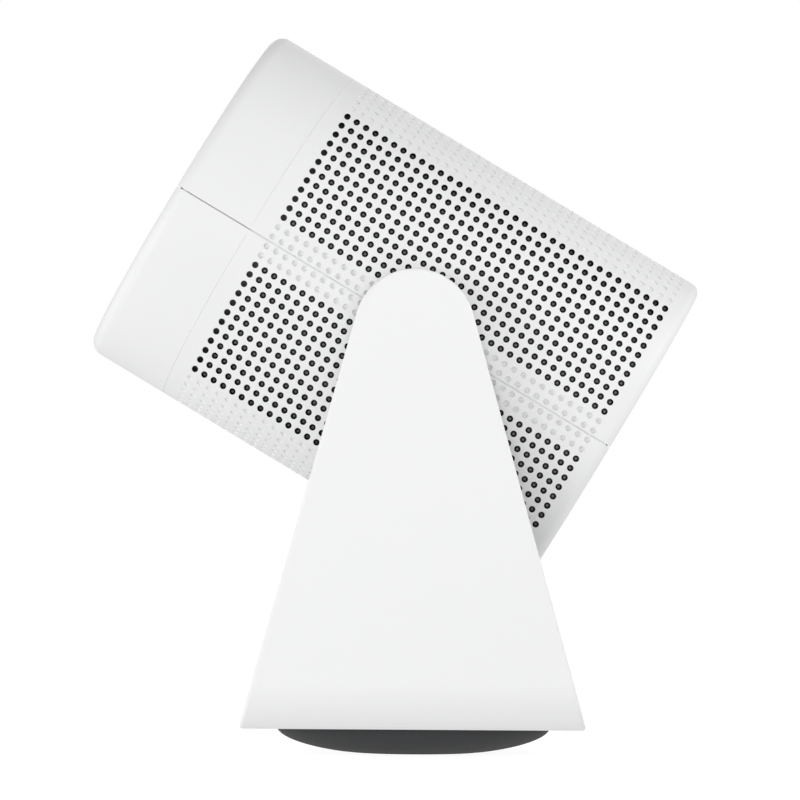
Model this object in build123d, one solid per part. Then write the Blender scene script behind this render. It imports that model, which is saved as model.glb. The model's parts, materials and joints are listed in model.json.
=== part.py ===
from build123d import *
import math
import os

# Desk air circulator fan: a perforated drum that tilts in a U-shaped stand,
# which swivels on a weighted round foot. Millimetres.
# Origin: centre of the foot's underside. +Z up, X along the tilt pivot,
# and the fan blows towards -Y.
# Pieces of the drum are drawn in the drum's own frame, with the pivot at its
# origin and the drum's axis along Y, and are tilted into place at the end.

# ---- layout ----
pivot_height = 172.0          # tilt pivot above the table
rest_tilt = 30.8              # nose-up angle of the drum as stored, degrees
fit_gap = 0.1                 # clearance between seated pieces
slip_gap = 0.3                # clearance between pieces that stay clear
running_gap = 0.05            # radial clearance of a turning fit
embed = 0.5                   # how far a rib or boss runs into its wall
margin = 1.0                  # how far a cutting shape runs past its piece

# ---- drum shells ----
drum_radius = 75.0
drum_front = 111.0            # pivot to front face
drum_rear = 91.0              # pivot to rear face
shell_wall = 2.5
front_edge_radius = 5.5
rear_edge_radius = 4.0
rim_width = 9.0               # flat rim of the front and the rear face
seam_width = 0.5              # shut line between the two half shells
capture_rib_thickness = 2.1
capture_rib_depth = 6.0

# ---- perforation ----
hole_pitch = 4.4
hole_radius = 1.3
hole_columns = 35
hole_rows = 12                # in each of the four perforated fields
first_row = 2.5               # first row above the seam, in pitches
first_column_setback = 43.15  # front face to the first column
pivot_land_radius = 17.0      # unperforated disc round each pivot

# ---- trunnions ----
journal_radius = 8.0
trunnion_flange_radius = 14.0
trunnion_flange_thickness = 3.0
pivot_pad_depth = 3.0         # the shell's flat inner pads, in from its inner wall
collar_radius = 13.0
collar_thickness = 1.6
trunnion_screw_circle = 11.0
trunnion_screw_count = 4

# ---- stand ----
arm_thickness = 12.0
drum_side_gap = 3.5           # drum to each arm
arm_head_radius = 24.0
arm_foot_half_width = 69.5
stand_bottom = 12.0           # underside of the stand above the table
stand_bend_radius = 18.0
stand_inner_bend_radius = 6.0
stand_wall = 2.5
stand_edge_radius = 1.2
liner_gap = 0.15
arm_screw_drop = 34.0         # tilt pivot to the top screw of each arm
arm_screw_lift = 32.0         # underside of the stand to the lowest screws
arm_screw_inset = 17.0        # edge of the arm to the screws beside it
floor_screw_side_inset = 26.5 # arm to the screws in the stand's floor
floor_screw_end_inset = 23.5  # front or rear end of the stand to those screws

# ---- pivot hardware in each arm ----
friction_washer_thickness = 1.2
bush_flange_thickness = 1.2
bush_flange_radius = 13.0
bush_barrel_radius = 10.0
bush_proud = 0.2
bush_boss_radius = 13.5
bush_boss_length = 3.0
wave_washer_thickness = 0.8
wave_washer_radius = 12.0
pivot_cap_thickness = 2.2
pivot_cap_radius = 11.0
pivot_screw_radius = 2.0
pivot_screw_head_radius = 3.8
pivot_screw_length = 12.0
pivot_screw_tip_gap = 1.0

# ---- small self-tapping screws ----
screw_radius = 1.25
screw_head_radius = 2.3
screw_head_height = 1.3
screw_boss_radius = 3.2
screw_length = 8.0

# ---- foot ----
foot_radius = 56.0
foot_widest_height = 10.5
foot_flat_radius = 28.0
foot_top = 11.6
foot_wall = 2.5
foot_lip_radius = 1.0
foot_cover_thickness = 2.0
foot_rim_width = 6.0          # foot's edge to its cover
foot_pad_inset = 1.0
foot_pad_thickness = 1.4
foot_pad_proud = 0.4
ballast_inset = 12.0
ballast_thickness = 5.0
foot_screw_inset = 5.0        # glide ring to the screw circle
foot_screw_count = 4

# ---- swivel ----
spindle_radius = 9.0
spindle_bore_radius = 5.0
spindle_flange_radius = 16.0
spindle_flange_thickness = 2.2
glide_inset = 2.0             # cover's edge to the glide ring
glide_width = 5.0
glide_thickness = 1.5
swivel_boss_radius = 15.0
swivel_boss_height = 3.6
swivel_washer_radius = 13.5
swivel_washer_thickness = 0.8
swivel_nut_radius = 13.0
swivel_nut_thickness = 2.0
swivel_range = 45.0
stop_pin_radius = 1.5
stop_pin_circle = 24.0
stop_pin_length = 1.6

# ---- front grille ----
flange_overlap = 3.0          # flanges behind the shells' rims
grille_flange_thickness = 1.9
grille_setback = 1.2
grille_depth = 6.5
grille_bar = 1.5
grille_vanes = 36
grille_vane_sweep = 38.0
grille_hub_radius = 15.0
grille_rings = 4              # between the hub and the outer rim
grille_cap_radius = 17.5
grille_cap_thickness = 1.6

# ---- air duct ----
duct_inset = 4.0              # mouth's edge to the duct
duct_wall = 1.8
duct_flange_thickness = 2.0
bellmouth_radius = 6.0
duct_rear_setback = 41.5      # front face to the duct's rear rim
duct_screw_inset = 2.5        # shell's inner wall to the screw circle
duct_boss_radius = 2.1

# ---- motor and its bracket ----
bracket_ring_thickness = 2.5
bracket_struts = 5
first_strut_angle = 90.0
strut_width = 2.4
strut_depth = 5.6
motor_base_radius = 20.5
motor_base_thickness = 3.0
motor_base_recess = 1.0       # base's rear face to the struts' front face
motor_cup_wall = 1.6
bearing_outer_radius = 4.5
bearing_width = 4.0
shaft_radius = 2.0
bearing_tube_wall = 1.1
bearing_tube_length = 18.0
stator_poles = 9
stator_radius = 13.5
stator_core_radius = 7.8
stator_length = 10.5
stator_lift = 5.2             # motor base to the stator's rear face
tooth_width = 2.4
pole_shoe_depth = 1.4
pole_shoe_span = 31.0
coil_side = 1.2
coil_overhang = 1.3
board_thickness = 1.6
motor_board_radius = 17.0
air_gap = 0.5
magnet_thickness = 3.0
magnet_overhang = 1.0
rotor_cup_wall = 1.5
rotor_cup_front = 1.2
rotor_lift = 4.6              # motor base to the rotor cup's open edge
rotor_cup_length = 16.2

# ---- impeller ----
blade_count = 7
blade_tip_clearance = 1.5
hub_wall = 2.0
hub_front = 2.9
hub_edge_radius = 3.0
blade_root_chord = 25.0
blade_tip_chord = 40.0
blade_root_pitch = 52.0
blade_tip_pitch = 30.0
blade_root_thickness = 2.6
blade_tip_thickness = 1.6
blade_camber = 2.4
blade_edge = 0.8
blade_overrun = 2.0           # end sections beyond the hub and the tip
nut_across_flats = 7.0
nut_thickness = 3.2

# ---- dust screens ----
screen_thickness = 0.8
screen_start_height = 7.4
screen_end_angle = 55.0

# ---- rear cover and controls ----
rear_plate_thickness = 2.0
rear_rim_width = 2.1
rear_rim_height = 1.6
rear_screw_inset = 5.5        # mouth's edge to the screw circle
rear_screw_angle = 65.0
rear_boss_length = 12.0
hub_dish_radius = 27.0
hub_dish_wall = 2.0
hub_dish_depth = 8.4
slot_width = 2.6
slot_count = 40
slot_rings = 2
slot_bar = 3.0                # solid ring between and inside the slots
slot_edge_inset = 10.0        # mouth's edge to the outer slots
knob_radius = 13.5
knob_height = 9.4
knob_lift = 0.8
knob_edge_radius = 1.2
knob_grips = 24
knob_grip_radius = 0.7
pointer_width = 1.6
pointer_length = 7.0
pointer_depth = 0.8
switch_shaft_radius = 3.0
switch_shaft_length = 17.0
switch_size = 16.0
switch_height = 8.8
switch_bush_radius = 4.6
control_box_inset = 2.2       # dish wall to the control box
control_box_wall = 1.8
control_box_depth = 20.0
control_board_setback = 8.0   # control board's front face to the box's floor
socket_offset = 19.3          # hub axis to the power socket, downwards
socket_width = 10.4
socket_height = 4.8
socket_mouth_width = 8.6
socket_mouth_height = 2.8
socket_mouth_depth = 7.0
tongue_width = 6.6
tongue_thickness = 0.8
tongue_setback = 0.8

# ---- internal lead and its conduit ----
conduit_radius = 3.6
conduit_wall = 0.7
conduit_offset = 10.0
conduit_socket_length = 6.0
conduit_socket_wall = 1.5
lead_radius = 1.7

# ---- snap hooks along the seam ----
hook_front_inset = 19.0       # front face to the first hook
hook_side_offset = 40.0       # pivot to the hooks on each side of it
hook_width = 10.0
hook_thickness = 2.0
hook_reach = 7.0
hook_nub = 1.4
hook_root = 7.0
lip_thickness = 1.6
lip_height = 4.0
lip_overlap = 2.0

# ---- places worked out from the sizes above ----
front_y = -drum_front
rear_y = drum_rear
shell_inner = drum_radius - shell_wall
mouth_radius = drum_radius - rim_width
flange_radius = mouth_radius + flange_overlap
duct_radius = mouth_radius - duct_inset
duct_screw_circle = shell_inner - duct_screw_inset
rear_screw_circle = mouth_radius - rear_screw_inset
trunnion_seat = shell_inner - pivot_pad_depth
collar_start = drum_radius + slip_gap
hook_places = (front_y + hook_front_inset, -hook_side_offset, hook_side_offset)
half_seam = seam_width / 2
arm_inner = drum_radius + drum_side_gap
arm_outer = arm_inner + arm_thickness
liner_back = arm_inner + stand_wall
first_column = front_y + first_column_setback
last_column = first_column + (hole_columns - 1) * hole_pitch
field_front = first_column - hole_pitch / 2
field_rear = last_column + hole_pitch / 2
field_edge = (first_row - 0.5) * hole_pitch
field_levels = [field_edge + row * hole_pitch for row in range(hole_rows + 1)]

grille_flange_front = front_y + shell_wall + fit_gap
duct_front = grille_flange_front + grille_flange_thickness + fit_gap
front_rib = duct_front + duct_flange_thickness + fit_gap
duct_rear = front_y + duct_rear_setback
bracket_front = duct_rear + fit_gap
bracket_rear = bracket_front + bracket_ring_thickness
base_rear = bracket_rear - strut_depth + motor_base_recess
base_front = base_rear - motor_base_thickness
rotor_open = base_front - rotor_lift
rotor_front = rotor_open - rotor_cup_length
stator_rear = base_front - stator_lift
stator_front = stator_rear - stator_length
magnet_outer = stator_radius + air_gap + magnet_thickness
rotor_radius = magnet_outer + rotor_cup_wall
hub_inner = rotor_radius + fit_gap
hub_radius = hub_inner + hub_wall
hub_face = rotor_front - fit_gap - hub_front
tube_front = base_front - bearing_tube_length
blade_tip_radius = duct_radius - blade_tip_clearance

rear_plate_rear = rear_y - shell_wall - fit_gap
rear_plate_front = rear_plate_rear - rear_plate_thickness
dish_floor_rear = rear_plate_rear - hub_dish_depth
dish_floor_front = dish_floor_rear - rear_plate_thickness
box_front = dish_floor_front - control_box_depth
board_front = box_front + control_board_setback
board_rear = board_front + board_thickness
control_box_radius = hub_dish_radius - control_box_inset

journal_end = arm_outer - stand_wall - pivot_cap_thickness - slip_gap
collar_end = collar_start + collar_thickness
bush_face = arm_inner - bush_proud
bush_seat = bush_face + bush_flange_thickness
bush_end = liner_back + bush_boss_length

foot_cover_radius = foot_radius - foot_rim_width
foot_pad_radius = foot_flat_radius - foot_pad_inset
ballast_radius = foot_radius - ballast_inset
glide_outer_radius = foot_cover_radius - glide_inset
glide_inner_radius = glide_outer_radius - glide_width
foot_screw_circle = glide_inner_radius - foot_screw_inset


def span(start, end):
    return (start + end) / 2, end - start


def disc_y(radius, start, end, x=0.0, z=0.0):
    middle, length = span(start, end)
    return Pos(x, middle, z) * Rot(90, 0, 0) * Cylinder(radius, length)


def disc_x(radius, start, end, y=0.0, z=0.0):
    middle, length = span(start, end)
    return Pos(middle, y, z) * Rot(0, 90, 0) * Cylinder(radius, length)


def disc_z(radius, start, end, x=0.0, y=0.0):
    middle, length = span(start, end)
    return Pos(x, y, middle) * Cylinder(radius, length)


def ring_y(outer, inner, start, end, x=0.0, z=0.0):
    return disc_y(outer, start, end, x, z) - disc_y(inner, start - margin, end + margin, x, z)


def ring_x(outer, inner, start, end, y=0.0, z=0.0):
    return disc_x(outer, start, end, y, z) - disc_x(inner, start - margin, end + margin, y, z)


def ring_z(outer, inner, start, end, x=0.0, y=0.0):
    return disc_z(outer, start, end, x, y) - disc_z(inner, start - margin, end + margin, x, y)


def block(x0, x1, y0, y1, z0, z1):
    mid_x, len_x = span(x0, x1)
    mid_y, len_y = span(y0, y1)
    mid_z, len_z = span(z0, z1)
    return Pos(mid_x, mid_y, mid_z) * Box(len_x, len_y, len_z)


def above_seam():
    reach = 2 * drum_radius
    return block(-reach, reach, -2 * drum_front, 2 * drum_rear, half_seam, reach)


def both_sides(shape):
    return [shape, mirror(shape, about=Plane.YZ)]


def around_y(shape, count, start=0.0):
    return [Rot(0, start + 360 / count * step, 0) * shape for step in range(count)]


def circle_places(radius, count, start):
    angles = [math.radians(start + 360 / count * step) for step in range(count)]
    return [(radius * math.cos(angle), radius * math.sin(angle)) for angle in angles]


def solid_of(shape):
    return shape.solids()[0]


def group(shapes):
    return Compound([solid for shape in shapes for solid in shape.solids()])


def in_drum(shape):
    return Location((0, 0, pivot_height), (-rest_tilt, 0, 0)) * shape


def in_stand(shape):
    return Location((0, 0, pivot_height)) * shape


# ---- the perforated half shell ----

def round_arc(radius, start, end):
    middle = (math.atan2(start[1], start[0]) + math.atan2(end[1], end[0])) / 2
    crown = (radius * math.cos(middle), radius * math.sin(middle))
    return ThreePointArc(start, crown, end)


def field_outline(radius):
    # The wall is a true arc, with one flat strip for each row of holes.
    right = [(math.sqrt(radius ** 2 - level ** 2), level) for level in field_levels]
    left = [(-x, level) for x, level in reversed(right)]
    floor_right = (math.sqrt(radius ** 2 - half_seam ** 2), half_seam)
    floor_left = (-floor_right[0], half_seam)
    strips = [Line(a, b) for side in (right, left) for a, b in zip(side[:-1], side[1:])]
    arcs = [
        round_arc(radius, floor_right, right[0]),
        round_arc(radius, right[-1], left[0]),
        round_arc(radius, left[-1], floor_left),
    ]
    return strips + arcs, floor_right, floor_left


def perforated_field():
    outer, outer_right, outer_left = field_outline(drum_radius)
    inner, inner_right, inner_left = field_outline(shell_inner)
    ends = [Line(inner_right, outer_right), Line(inner_left, outer_left)]
    section = Plane.XZ * make_face(outer + inner + ends)
    wall = extrude(section, amount=field_rear - field_front, dir=(0, 1, 0))
    wall = Pos(0, field_front, 0) * wall
    reach = drum_radius + margin
    drills = []
    for column in range(hole_columns):
        y = first_column + column * hole_pitch
        for row in range(hole_rows):
            z = (first_row + row) * hole_pitch
            if math.hypot(y, z) > pivot_land_radius + hole_radius:
                drills.append(disc_x(hole_radius, -reach, reach, y, z))
    return wall - drills


def front_barrel():
    r, f = front_edge_radius, front_y
    lip = [(mouth_radius, f), (drum_radius - r, f)]
    outline = [
        Line(lip[0], lip[1]),
        RadiusArc(lip[1], (drum_radius, f + r), -r),
        Line((drum_radius, f + r), (drum_radius, field_front)),
        Line((drum_radius, field_front), (shell_inner, field_front)),
        Line((shell_inner, field_front), (shell_inner, f + r)),
        RadiusArc((shell_inner, f + r), (drum_radius - r, f + shell_wall), r - shell_wall),
        Line((drum_radius - r, f + shell_wall), (mouth_radius, f + shell_wall)),
        Line((mouth_radius, f + shell_wall), lip[0]),
    ]
    return revolve(make_face(outline), axis=Axis.Y) & above_seam()


def rear_barrel():
    r, b = rear_edge_radius, rear_y
    outline = [
        Line((drum_radius, field_rear), (drum_radius, b - r)),
        RadiusArc((drum_radius, b - r), (drum_radius - r, b), -r),
        Line((drum_radius - r, b), (mouth_radius, b)),
        Line((mouth_radius, b), (mouth_radius, b - shell_wall)),
        Line((mouth_radius, b - shell_wall), (drum_radius - r, b - shell_wall)),
        RadiusArc((drum_radius - r, b - shell_wall), (shell_inner, b - r), r - shell_wall),
        Line((shell_inner, b - r), (shell_inner, field_rear)),
        Line((shell_inner, field_rear), (drum_radius, field_rear)),
    ]
    return revolve(make_face(outline), axis=Axis.Y) & above_seam()


def capture_rib(start, end):
    rib = ring_y(shell_inner + embed, shell_inner - capture_rib_depth, start, end)
    return rib & above_seam()


def pivot_pads():
    pad = disc_x(pivot_land_radius, trunnion_seat, shell_inner + embed) & above_seam()
    return both_sides(pad)


def rear_bosses():
    boss = disc_y(screw_boss_radius, rear_plate_front - rear_boss_length,
                  rear_plate_front - fit_gap, x=rear_screw_circle)
    web = block(rear_screw_circle, shell_inner + embed / 2, rear_plate_front - capture_rib_thickness,
                rear_plate_front - fit_gap, -screw_boss_radius, screw_boss_radius)
    pilot = disc_y(screw_radius - fit_gap, rear_plate_front - screw_length, rear_plate_front,
                   x=rear_screw_circle)
    post = (boss + web) - pilot
    return [Rot(0, -angle, 0) * post for angle in (rear_screw_angle, 180 - rear_screw_angle)]


def base_half_shell():
    shell = perforated_field() + [front_barrel(), rear_barrel()]
    ribs = [
        capture_rib(front_rib, front_rib + capture_rib_thickness),
        capture_rib(rear_plate_front - fit_gap - capture_rib_thickness, rear_plate_front - fit_gap),
    ]
    shell = shell + ribs + pivot_pads() + rear_bosses()
    neck = disc_x(journal_radius + fit_gap, -2 * drum_radius, 2 * drum_radius)
    return solid_of(shell - neck)


def hook_arms():
    # Spring arms of the upper shell that reach down past the seam.
    outer = shell_inner - lip_thickness - hook_nub - slip_gap
    arms = []
    for y in hook_places:
        arm = block(outer - hook_thickness, outer, y - hook_width / 2, y + hook_width / 2,
                    -hook_reach, hook_root)
        root = block(outer - hook_thickness, shell_inner, y - hook_width / 2, y + hook_width / 2,
                     hook_root - hook_thickness, hook_root)
        nub = block(outer - embed, outer + hook_nub - slip_gap, y - hook_width / 2,
                    y + hook_width / 2, -hook_reach, -hook_reach + hook_thickness)
        arms += both_sides(arm + root + nub)
    return arms


def hook_catches():
    # Ledges of the lower shell that the spring arms snap under.
    outer = shell_inner - lip_thickness - hook_nub - slip_gap
    top = -hook_reach + hook_thickness + slip_gap
    ledges = []
    for y in hook_places:
        ledge = block(outer + slip_gap, shell_inner, y - hook_width / 2, y + hook_width / 2,
                      top, top + hook_thickness)
        ledges += both_sides(ledge)
    return ledges


def seam_lip():
    # A strip behind the shut line, which keeps the two shells in line.
    outer = shell_inner - slip_gap
    strip = ring_y(outer, outer - lip_thickness, bracket_rear + slip_gap, last_column)
    band = block(0, drum_radius, -drum_front, drum_rear, -lip_height, lip_overlap)
    root = ring_y(shell_inner + embed, outer - lip_thickness, bracket_rear + slip_gap, last_column)
    root_band = block(0, drum_radius, -drum_front, drum_rear, -lip_height, -lip_height + lip_thickness)
    lip = (strip & band) + (root & root_band)
    lip = lip - disc_x(pivot_land_radius + slip_gap, 0, drum_radius)
    return both_sides(lip)


def shell_upper(half):
    return solid_of(half + hook_arms())


def shell_lower(half):
    lower = Rot(0, 180, 0) * half
    gaps = [block(-drum_radius, drum_radius, y - hook_width / 2 - slip_gap,
                  y + hook_width / 2 + slip_gap, -lip_height - margin, lip_overlap + margin)
            for y in hook_places]
    lips = [lip - gaps for lip in seam_lip()]
    return solid_of(lower + lips + hook_catches())


# ---- trunnions, which carry the drum ----

def screw_x(start, length):
    # Pan-head screw along +X from the head's outer face.
    head = disc_x(screw_head_radius, start, start + screw_head_height)
    shank = disc_x(screw_radius, start + screw_head_height, start + length)
    return head + shank


def trunnion_screw_places():
    return circle_places(trunnion_screw_circle, trunnion_screw_count, 180 / trunnion_screw_count)


def trunnion():
    flange_back = trunnion_seat - trunnion_flange_thickness
    body = disc_x(trunnion_flange_radius, flange_back, trunnion_seat)
    body += disc_x(journal_radius, trunnion_seat, journal_end)
    body += disc_x(collar_radius, collar_start, collar_end)
    holes = [disc_x(screw_radius + fit_gap, flange_back - margin, trunnion_seat + margin, y, z)
             for y, z in trunnion_screw_places()]
    thread = disc_x(pivot_screw_radius, journal_end - pivot_screw_length, journal_end + margin)
    return solid_of(body - holes - thread)


def trunnion_screws():
    start = trunnion_seat - trunnion_flange_thickness - screw_head_height
    depth = screw_head_height + trunnion_flange_thickness + shell_wall - slip_gap
    screws = [Pos(0, y, z) * screw_x(start, depth) for y, z in trunnion_screw_places()]
    return group([side for screw in screws for side in both_sides(screw)])


def drill_trunnion_pilots(shell):
    depth = trunnion_seat + shell_wall
    pilots = [disc_x(screw_radius, trunnion_seat - margin, depth, y, z)
              for y, z in trunnion_screw_places()]
    return solid_of(shell - [side for pilot in pilots for side in both_sides(pilot)])


# ---- front grille and air duct ----

def front_grille():
    front = front_y + grille_setback
    back = front + grille_depth
    rim = ring_y(mouth_radius - slip_gap, duct_radius, front, duct_front - fit_gap)
    flange = ring_y(flange_radius, duct_radius, grille_flange_front,
                    grille_flange_front + grille_flange_thickness)
    hub = ring_y(grille_hub_radius, grille_hub_radius - grille_bar, front, back)
    step = (duct_radius - grille_hub_radius) / (grille_rings + 1)
    radii = [grille_hub_radius + step * (index + 1) for index in range(grille_rings)]
    rings = [ring_y(radius + grille_bar / 2, radius - grille_bar / 2, front, back - grille_bar)
             for radius in radii]

    def place(radius, turn):
        return (radius * math.cos(math.radians(turn)), radius * math.sin(math.radians(turn)))

    outer = duct_radius + grille_bar / 2
    inner = grille_hub_radius - grille_bar / 2
    path = ThreePointArc(place(inner, 0), place((inner + outer) / 2, grille_vane_sweep / 3),
                         place(outer, grille_vane_sweep))
    vane = extrude(trace(path, line_width=grille_bar), amount=grille_depth - grille_bar)
    vane = Pos(0, front + grille_bar / 2, 0) * Rot(-90, 0, 0) * vane
    vanes = around_y(vane, grille_vanes)
    duct_room = ring_y(drum_radius, duct_radius - slip_gap, duct_front - fit_gap, back + margin)
    return solid_of(rim + [flange, hub] + rings + vanes - duct_room)


def grille_cap():
    front = front_y + grille_setback
    cap = disc_y(grille_cap_radius, front - grille_cap_thickness / 2, front - fit_gap / 2)
    spigot_radius = grille_hub_radius - grille_bar - fit_gap
    spigot = ring_y(spigot_radius, spigot_radius - grille_bar, front - fit_gap,
                    front + grille_depth / 2)
    return solid_of(cap + spigot)


def duct_screw_places():
    return circle_places(duct_screw_circle, bracket_struts, first_strut_angle)


def air_duct():
    r, w, b = duct_radius, duct_wall, bellmouth_radius
    rim_radius = shell_inner - slip_gap
    flare = duct_rear - b
    outline = [
        Line((r, duct_front), (rim_radius, duct_front)),
        Line((rim_radius, duct_front), (rim_radius, duct_front + duct_flange_thickness)),
        Line((rim_radius, duct_front + duct_flange_thickness),
             (r + w, duct_front + duct_flange_thickness)),
        Line((r + w, duct_front + duct_flange_thickness), (r + w, flare)),
        RadiusArc((r + w, flare), (r + b, duct_rear - w), b - w),
        Line((r + b, duct_rear - w), (rim_radius, duct_rear - w)),
        Line((rim_radius, duct_rear - w), (rim_radius, duct_rear)),
        Line((rim_radius, duct_rear), (r + b, duct_rear)),
        RadiusArc((r + b, duct_rear), (r, flare), -b),
        Line((r, flare), (r, duct_front)),
    ]
    duct = revolve(make_face(outline), axis=Axis.Y)
    boss_front = duct_rear - screw_length
    bosses = [disc_y(duct_boss_radius, boss_front, duct_rear - w / 2, x, z)
              for x, z in duct_screw_places()]
    pilots = [disc_y(screw_radius - fit_gap, duct_rear - screw_length + w, duct_rear + margin, x, z)
              for x, z in duct_screw_places()]
    return solid_of(duct + bosses - pilots)


# ---- motor bracket, motor and impeller ----

def motor_bracket():
    rim_radius = shell_inner - slip_gap
    ring = ring_y(rim_radius, duct_radius + bellmouth_radius, bracket_front, bracket_rear)
    base = disc_y(motor_base_radius, base_front, base_rear)
    skirt = ring_y(motor_base_radius, motor_base_radius - motor_cup_wall, base_front, bracket_rear)
    tube = disc_y(bearing_outer_radius + bearing_tube_wall, tube_front, base_rear)
    half = strut_width / 2
    inside = duct_radius - slip_gap
    strut = block(motor_base_radius - motor_cup_wall, inside,
                  bracket_rear - strut_depth, bracket_rear, -half, half)
    strut += block(inside - embed, duct_screw_circle, bracket_front, bracket_rear, -half, half)
    struts = around_y(strut, bracket_struts, start=-first_strut_angle)
    socket_radius = conduit_radius + conduit_socket_wall
    socket = disc_y(socket_radius, base_rear - embed, base_rear + conduit_socket_length,
                    z=conduit_offset)
    body = ring + [base, skirt, tube, socket] + struts
    cuts = [
        disc_y(bearing_outer_radius, tube_front - margin, base_rear - motor_base_thickness / 3),
        disc_y(conduit_radius + fit_gap, base_rear, base_rear + conduit_socket_length + margin,
               z=conduit_offset),
        disc_y(lead_radius + slip_gap, base_front - margin, base_rear + margin, z=conduit_offset),
    ]
    cuts += [disc_y(screw_radius + fit_gap, bracket_front - margin, bracket_rear + margin, x, z)
             for x, z in duct_screw_places()]
    return solid_of(body - cuts)


def screw_y(x, z, head_back, length):
    # Pan-head screw that points towards -Y, with its seat at head_back.
    head = disc_y(screw_head_radius, head_back, head_back + screw_head_height, x, z)
    shank = disc_y(screw_radius - fit_gap, head_back - length, head_back, x, z)
    return head + shank


def bracket_screws():
    length = screw_length - duct_wall
    return group([screw_y(x, z, bracket_rear, length) for x, z in duct_screw_places()])


def motor_bearings():
    rear_end = base_rear - motor_base_thickness / 3
    places = (tube_front + fit_gap, rear_end - bearing_width)
    return group([ring_y(bearing_outer_radius, shaft_radius + running_gap, y, y + bearing_width)
                  for y in places])


def motor_board():
    return solid_of(ring_y(motor_board_radius, bearing_outer_radius + bearing_tube_wall + fit_gap,
                           base_front - board_thickness, base_front))


def stator_tooth(half_width, inner, outer, front, rear):
    return block(inner, outer, front, rear, -half_width, half_width)


def motor_stator():
    bore = bearing_outer_radius + bearing_tube_wall
    core = ring_y(stator_core_radius, bore, stator_front, stator_rear)
    tooth = stator_tooth(tooth_width / 2, bore + embed, stator_radius - pole_shoe_depth / 2,
                         stator_front, stator_rear)
    shoe_ring = ring_y(stator_radius, stator_radius - pole_shoe_depth, stator_front, stator_rear)
    half_span = stator_radius * math.tan(math.radians(pole_shoe_span / 2))
    sector = block(0, stator_radius + margin, stator_front, stator_rear, -half_span, half_span)
    shoe = shoe_ring & sector
    return solid_of(core + around_y(tooth + shoe, stator_poles))


def motor_windings():
    inner = stator_core_radius + fit_gap
    outer = stator_radius - pole_shoe_depth - slip_gap
    window = tooth_width / 2 + fit_gap
    coil = block(inner, outer, stator_front - coil_overhang, stator_rear + coil_overhang,
                 -window - coil_side, window + coil_side)
    coil -= block(inner - margin, outer + margin, stator_front - fit_gap, stator_rear + fit_gap,
                  -window, window)
    return group(around_y(coil, stator_poles))


def rotor_cup():
    skirt = ring_y(rotor_radius, magnet_outer, rotor_front, rotor_open)
    face = ring_y(rotor_radius, shaft_radius, rotor_front, rotor_front + rotor_cup_front)
    return solid_of(skirt + face)


def rotor_magnet():
    front = stator_front - magnet_overhang
    return solid_of(ring_y(magnet_outer, stator_radius + air_gap, front, rotor_open))


def motor_shaft():
    front = hub_face - nut_thickness - fit_gap
    return solid_of(disc_y(shaft_radius, front, base_rear - motor_base_thickness / 3 - fit_gap))


def impeller_nut():
    hexagon = RegularPolygon(nut_across_flats / 2, 6, major_radius=False)
    nut = Pos(0, hub_face, 0) * Rot(90, 0, 0) * extrude(hexagon, amount=nut_thickness)
    return solid_of(nut - disc_y(shaft_radius, hub_face - 2 * nut_thickness, hub_face + margin))


def blade_section(radius, chord, pitch, thickness):
    # Cambered blade section in the plane square to the radius.
    half = chord / 2
    edge = blade_edge / 2
    crown = blade_camber + thickness / 2
    belly = blade_camber - thickness / 2
    outline = [
        ThreePointArc((-half, edge), (0, crown), (half, edge)),
        Line((half, edge), (half, -edge)),
        ThreePointArc((half, -edge), (0, belly), (-half, -edge)),
        Line((-half, -edge), (-half, edge)),
    ]
    turned = Rot(0, 0, pitch) * make_face(outline)
    return Plane(origin=(radius, 0, 0), x_dir=(0, 0, 1), z_dir=(1, 0, 0)) * turned


def impeller():
    middle = (hub_face + rotor_open) / 2
    sections = [
        blade_section(hub_inner - blade_overrun, blade_root_chord, blade_root_pitch,
                      blade_root_thickness),
        blade_section((hub_inner + blade_tip_radius) / 2, (blade_root_chord + blade_tip_chord) / 2,
                      (blade_root_pitch + blade_tip_pitch) / 2,
                      (blade_root_thickness + blade_tip_thickness) / 2),
        blade_section(blade_tip_radius + blade_overrun, blade_tip_chord, blade_tip_pitch,
                      blade_tip_thickness),
    ]
    blade = Pos(0, middle, 0) * loft(sections)
    sweep = ring_y(blade_tip_radius, hub_inner + hub_wall / 2, 2 * front_y, 0)
    blade = blade & sweep
    hub = disc_y(hub_radius, hub_face, rotor_open)
    front_edges = hub.edges().filter_by(GeomType.CIRCLE).sort_by(Axis.Y)[:1]
    hub = fillet(front_edges, hub_edge_radius)
    hub -= disc_y(hub_inner, hub_face + hub_front, rotor_open + margin)
    hub -= disc_y(shaft_radius, 2 * hub_face, 0)
    return solid_of(hub + around_y(blade, blade_count))


# ---- dust screens behind the perforation ----

def dust_screens():
    outer = shell_inner - slip_gap
    front = bracket_rear + screw_head_height + slip_gap
    sleeve = ring_y(outer, outer - screen_thickness, front, field_rear)
    top = drum_radius * math.sin(math.radians(screen_end_angle))
    panel = sleeve & block(0, drum_radius, -drum_front, drum_rear, screen_start_height, top)
    panel -= disc_x(pivot_land_radius + slip_gap, 0, 2 * drum_radius)
    uppers = both_sides(panel)
    lowers = [mirror(panel, about=Plane.XY) for panel in uppers]
    return group(uppers + lowers)


# ---- rear cover and controls ----

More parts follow.
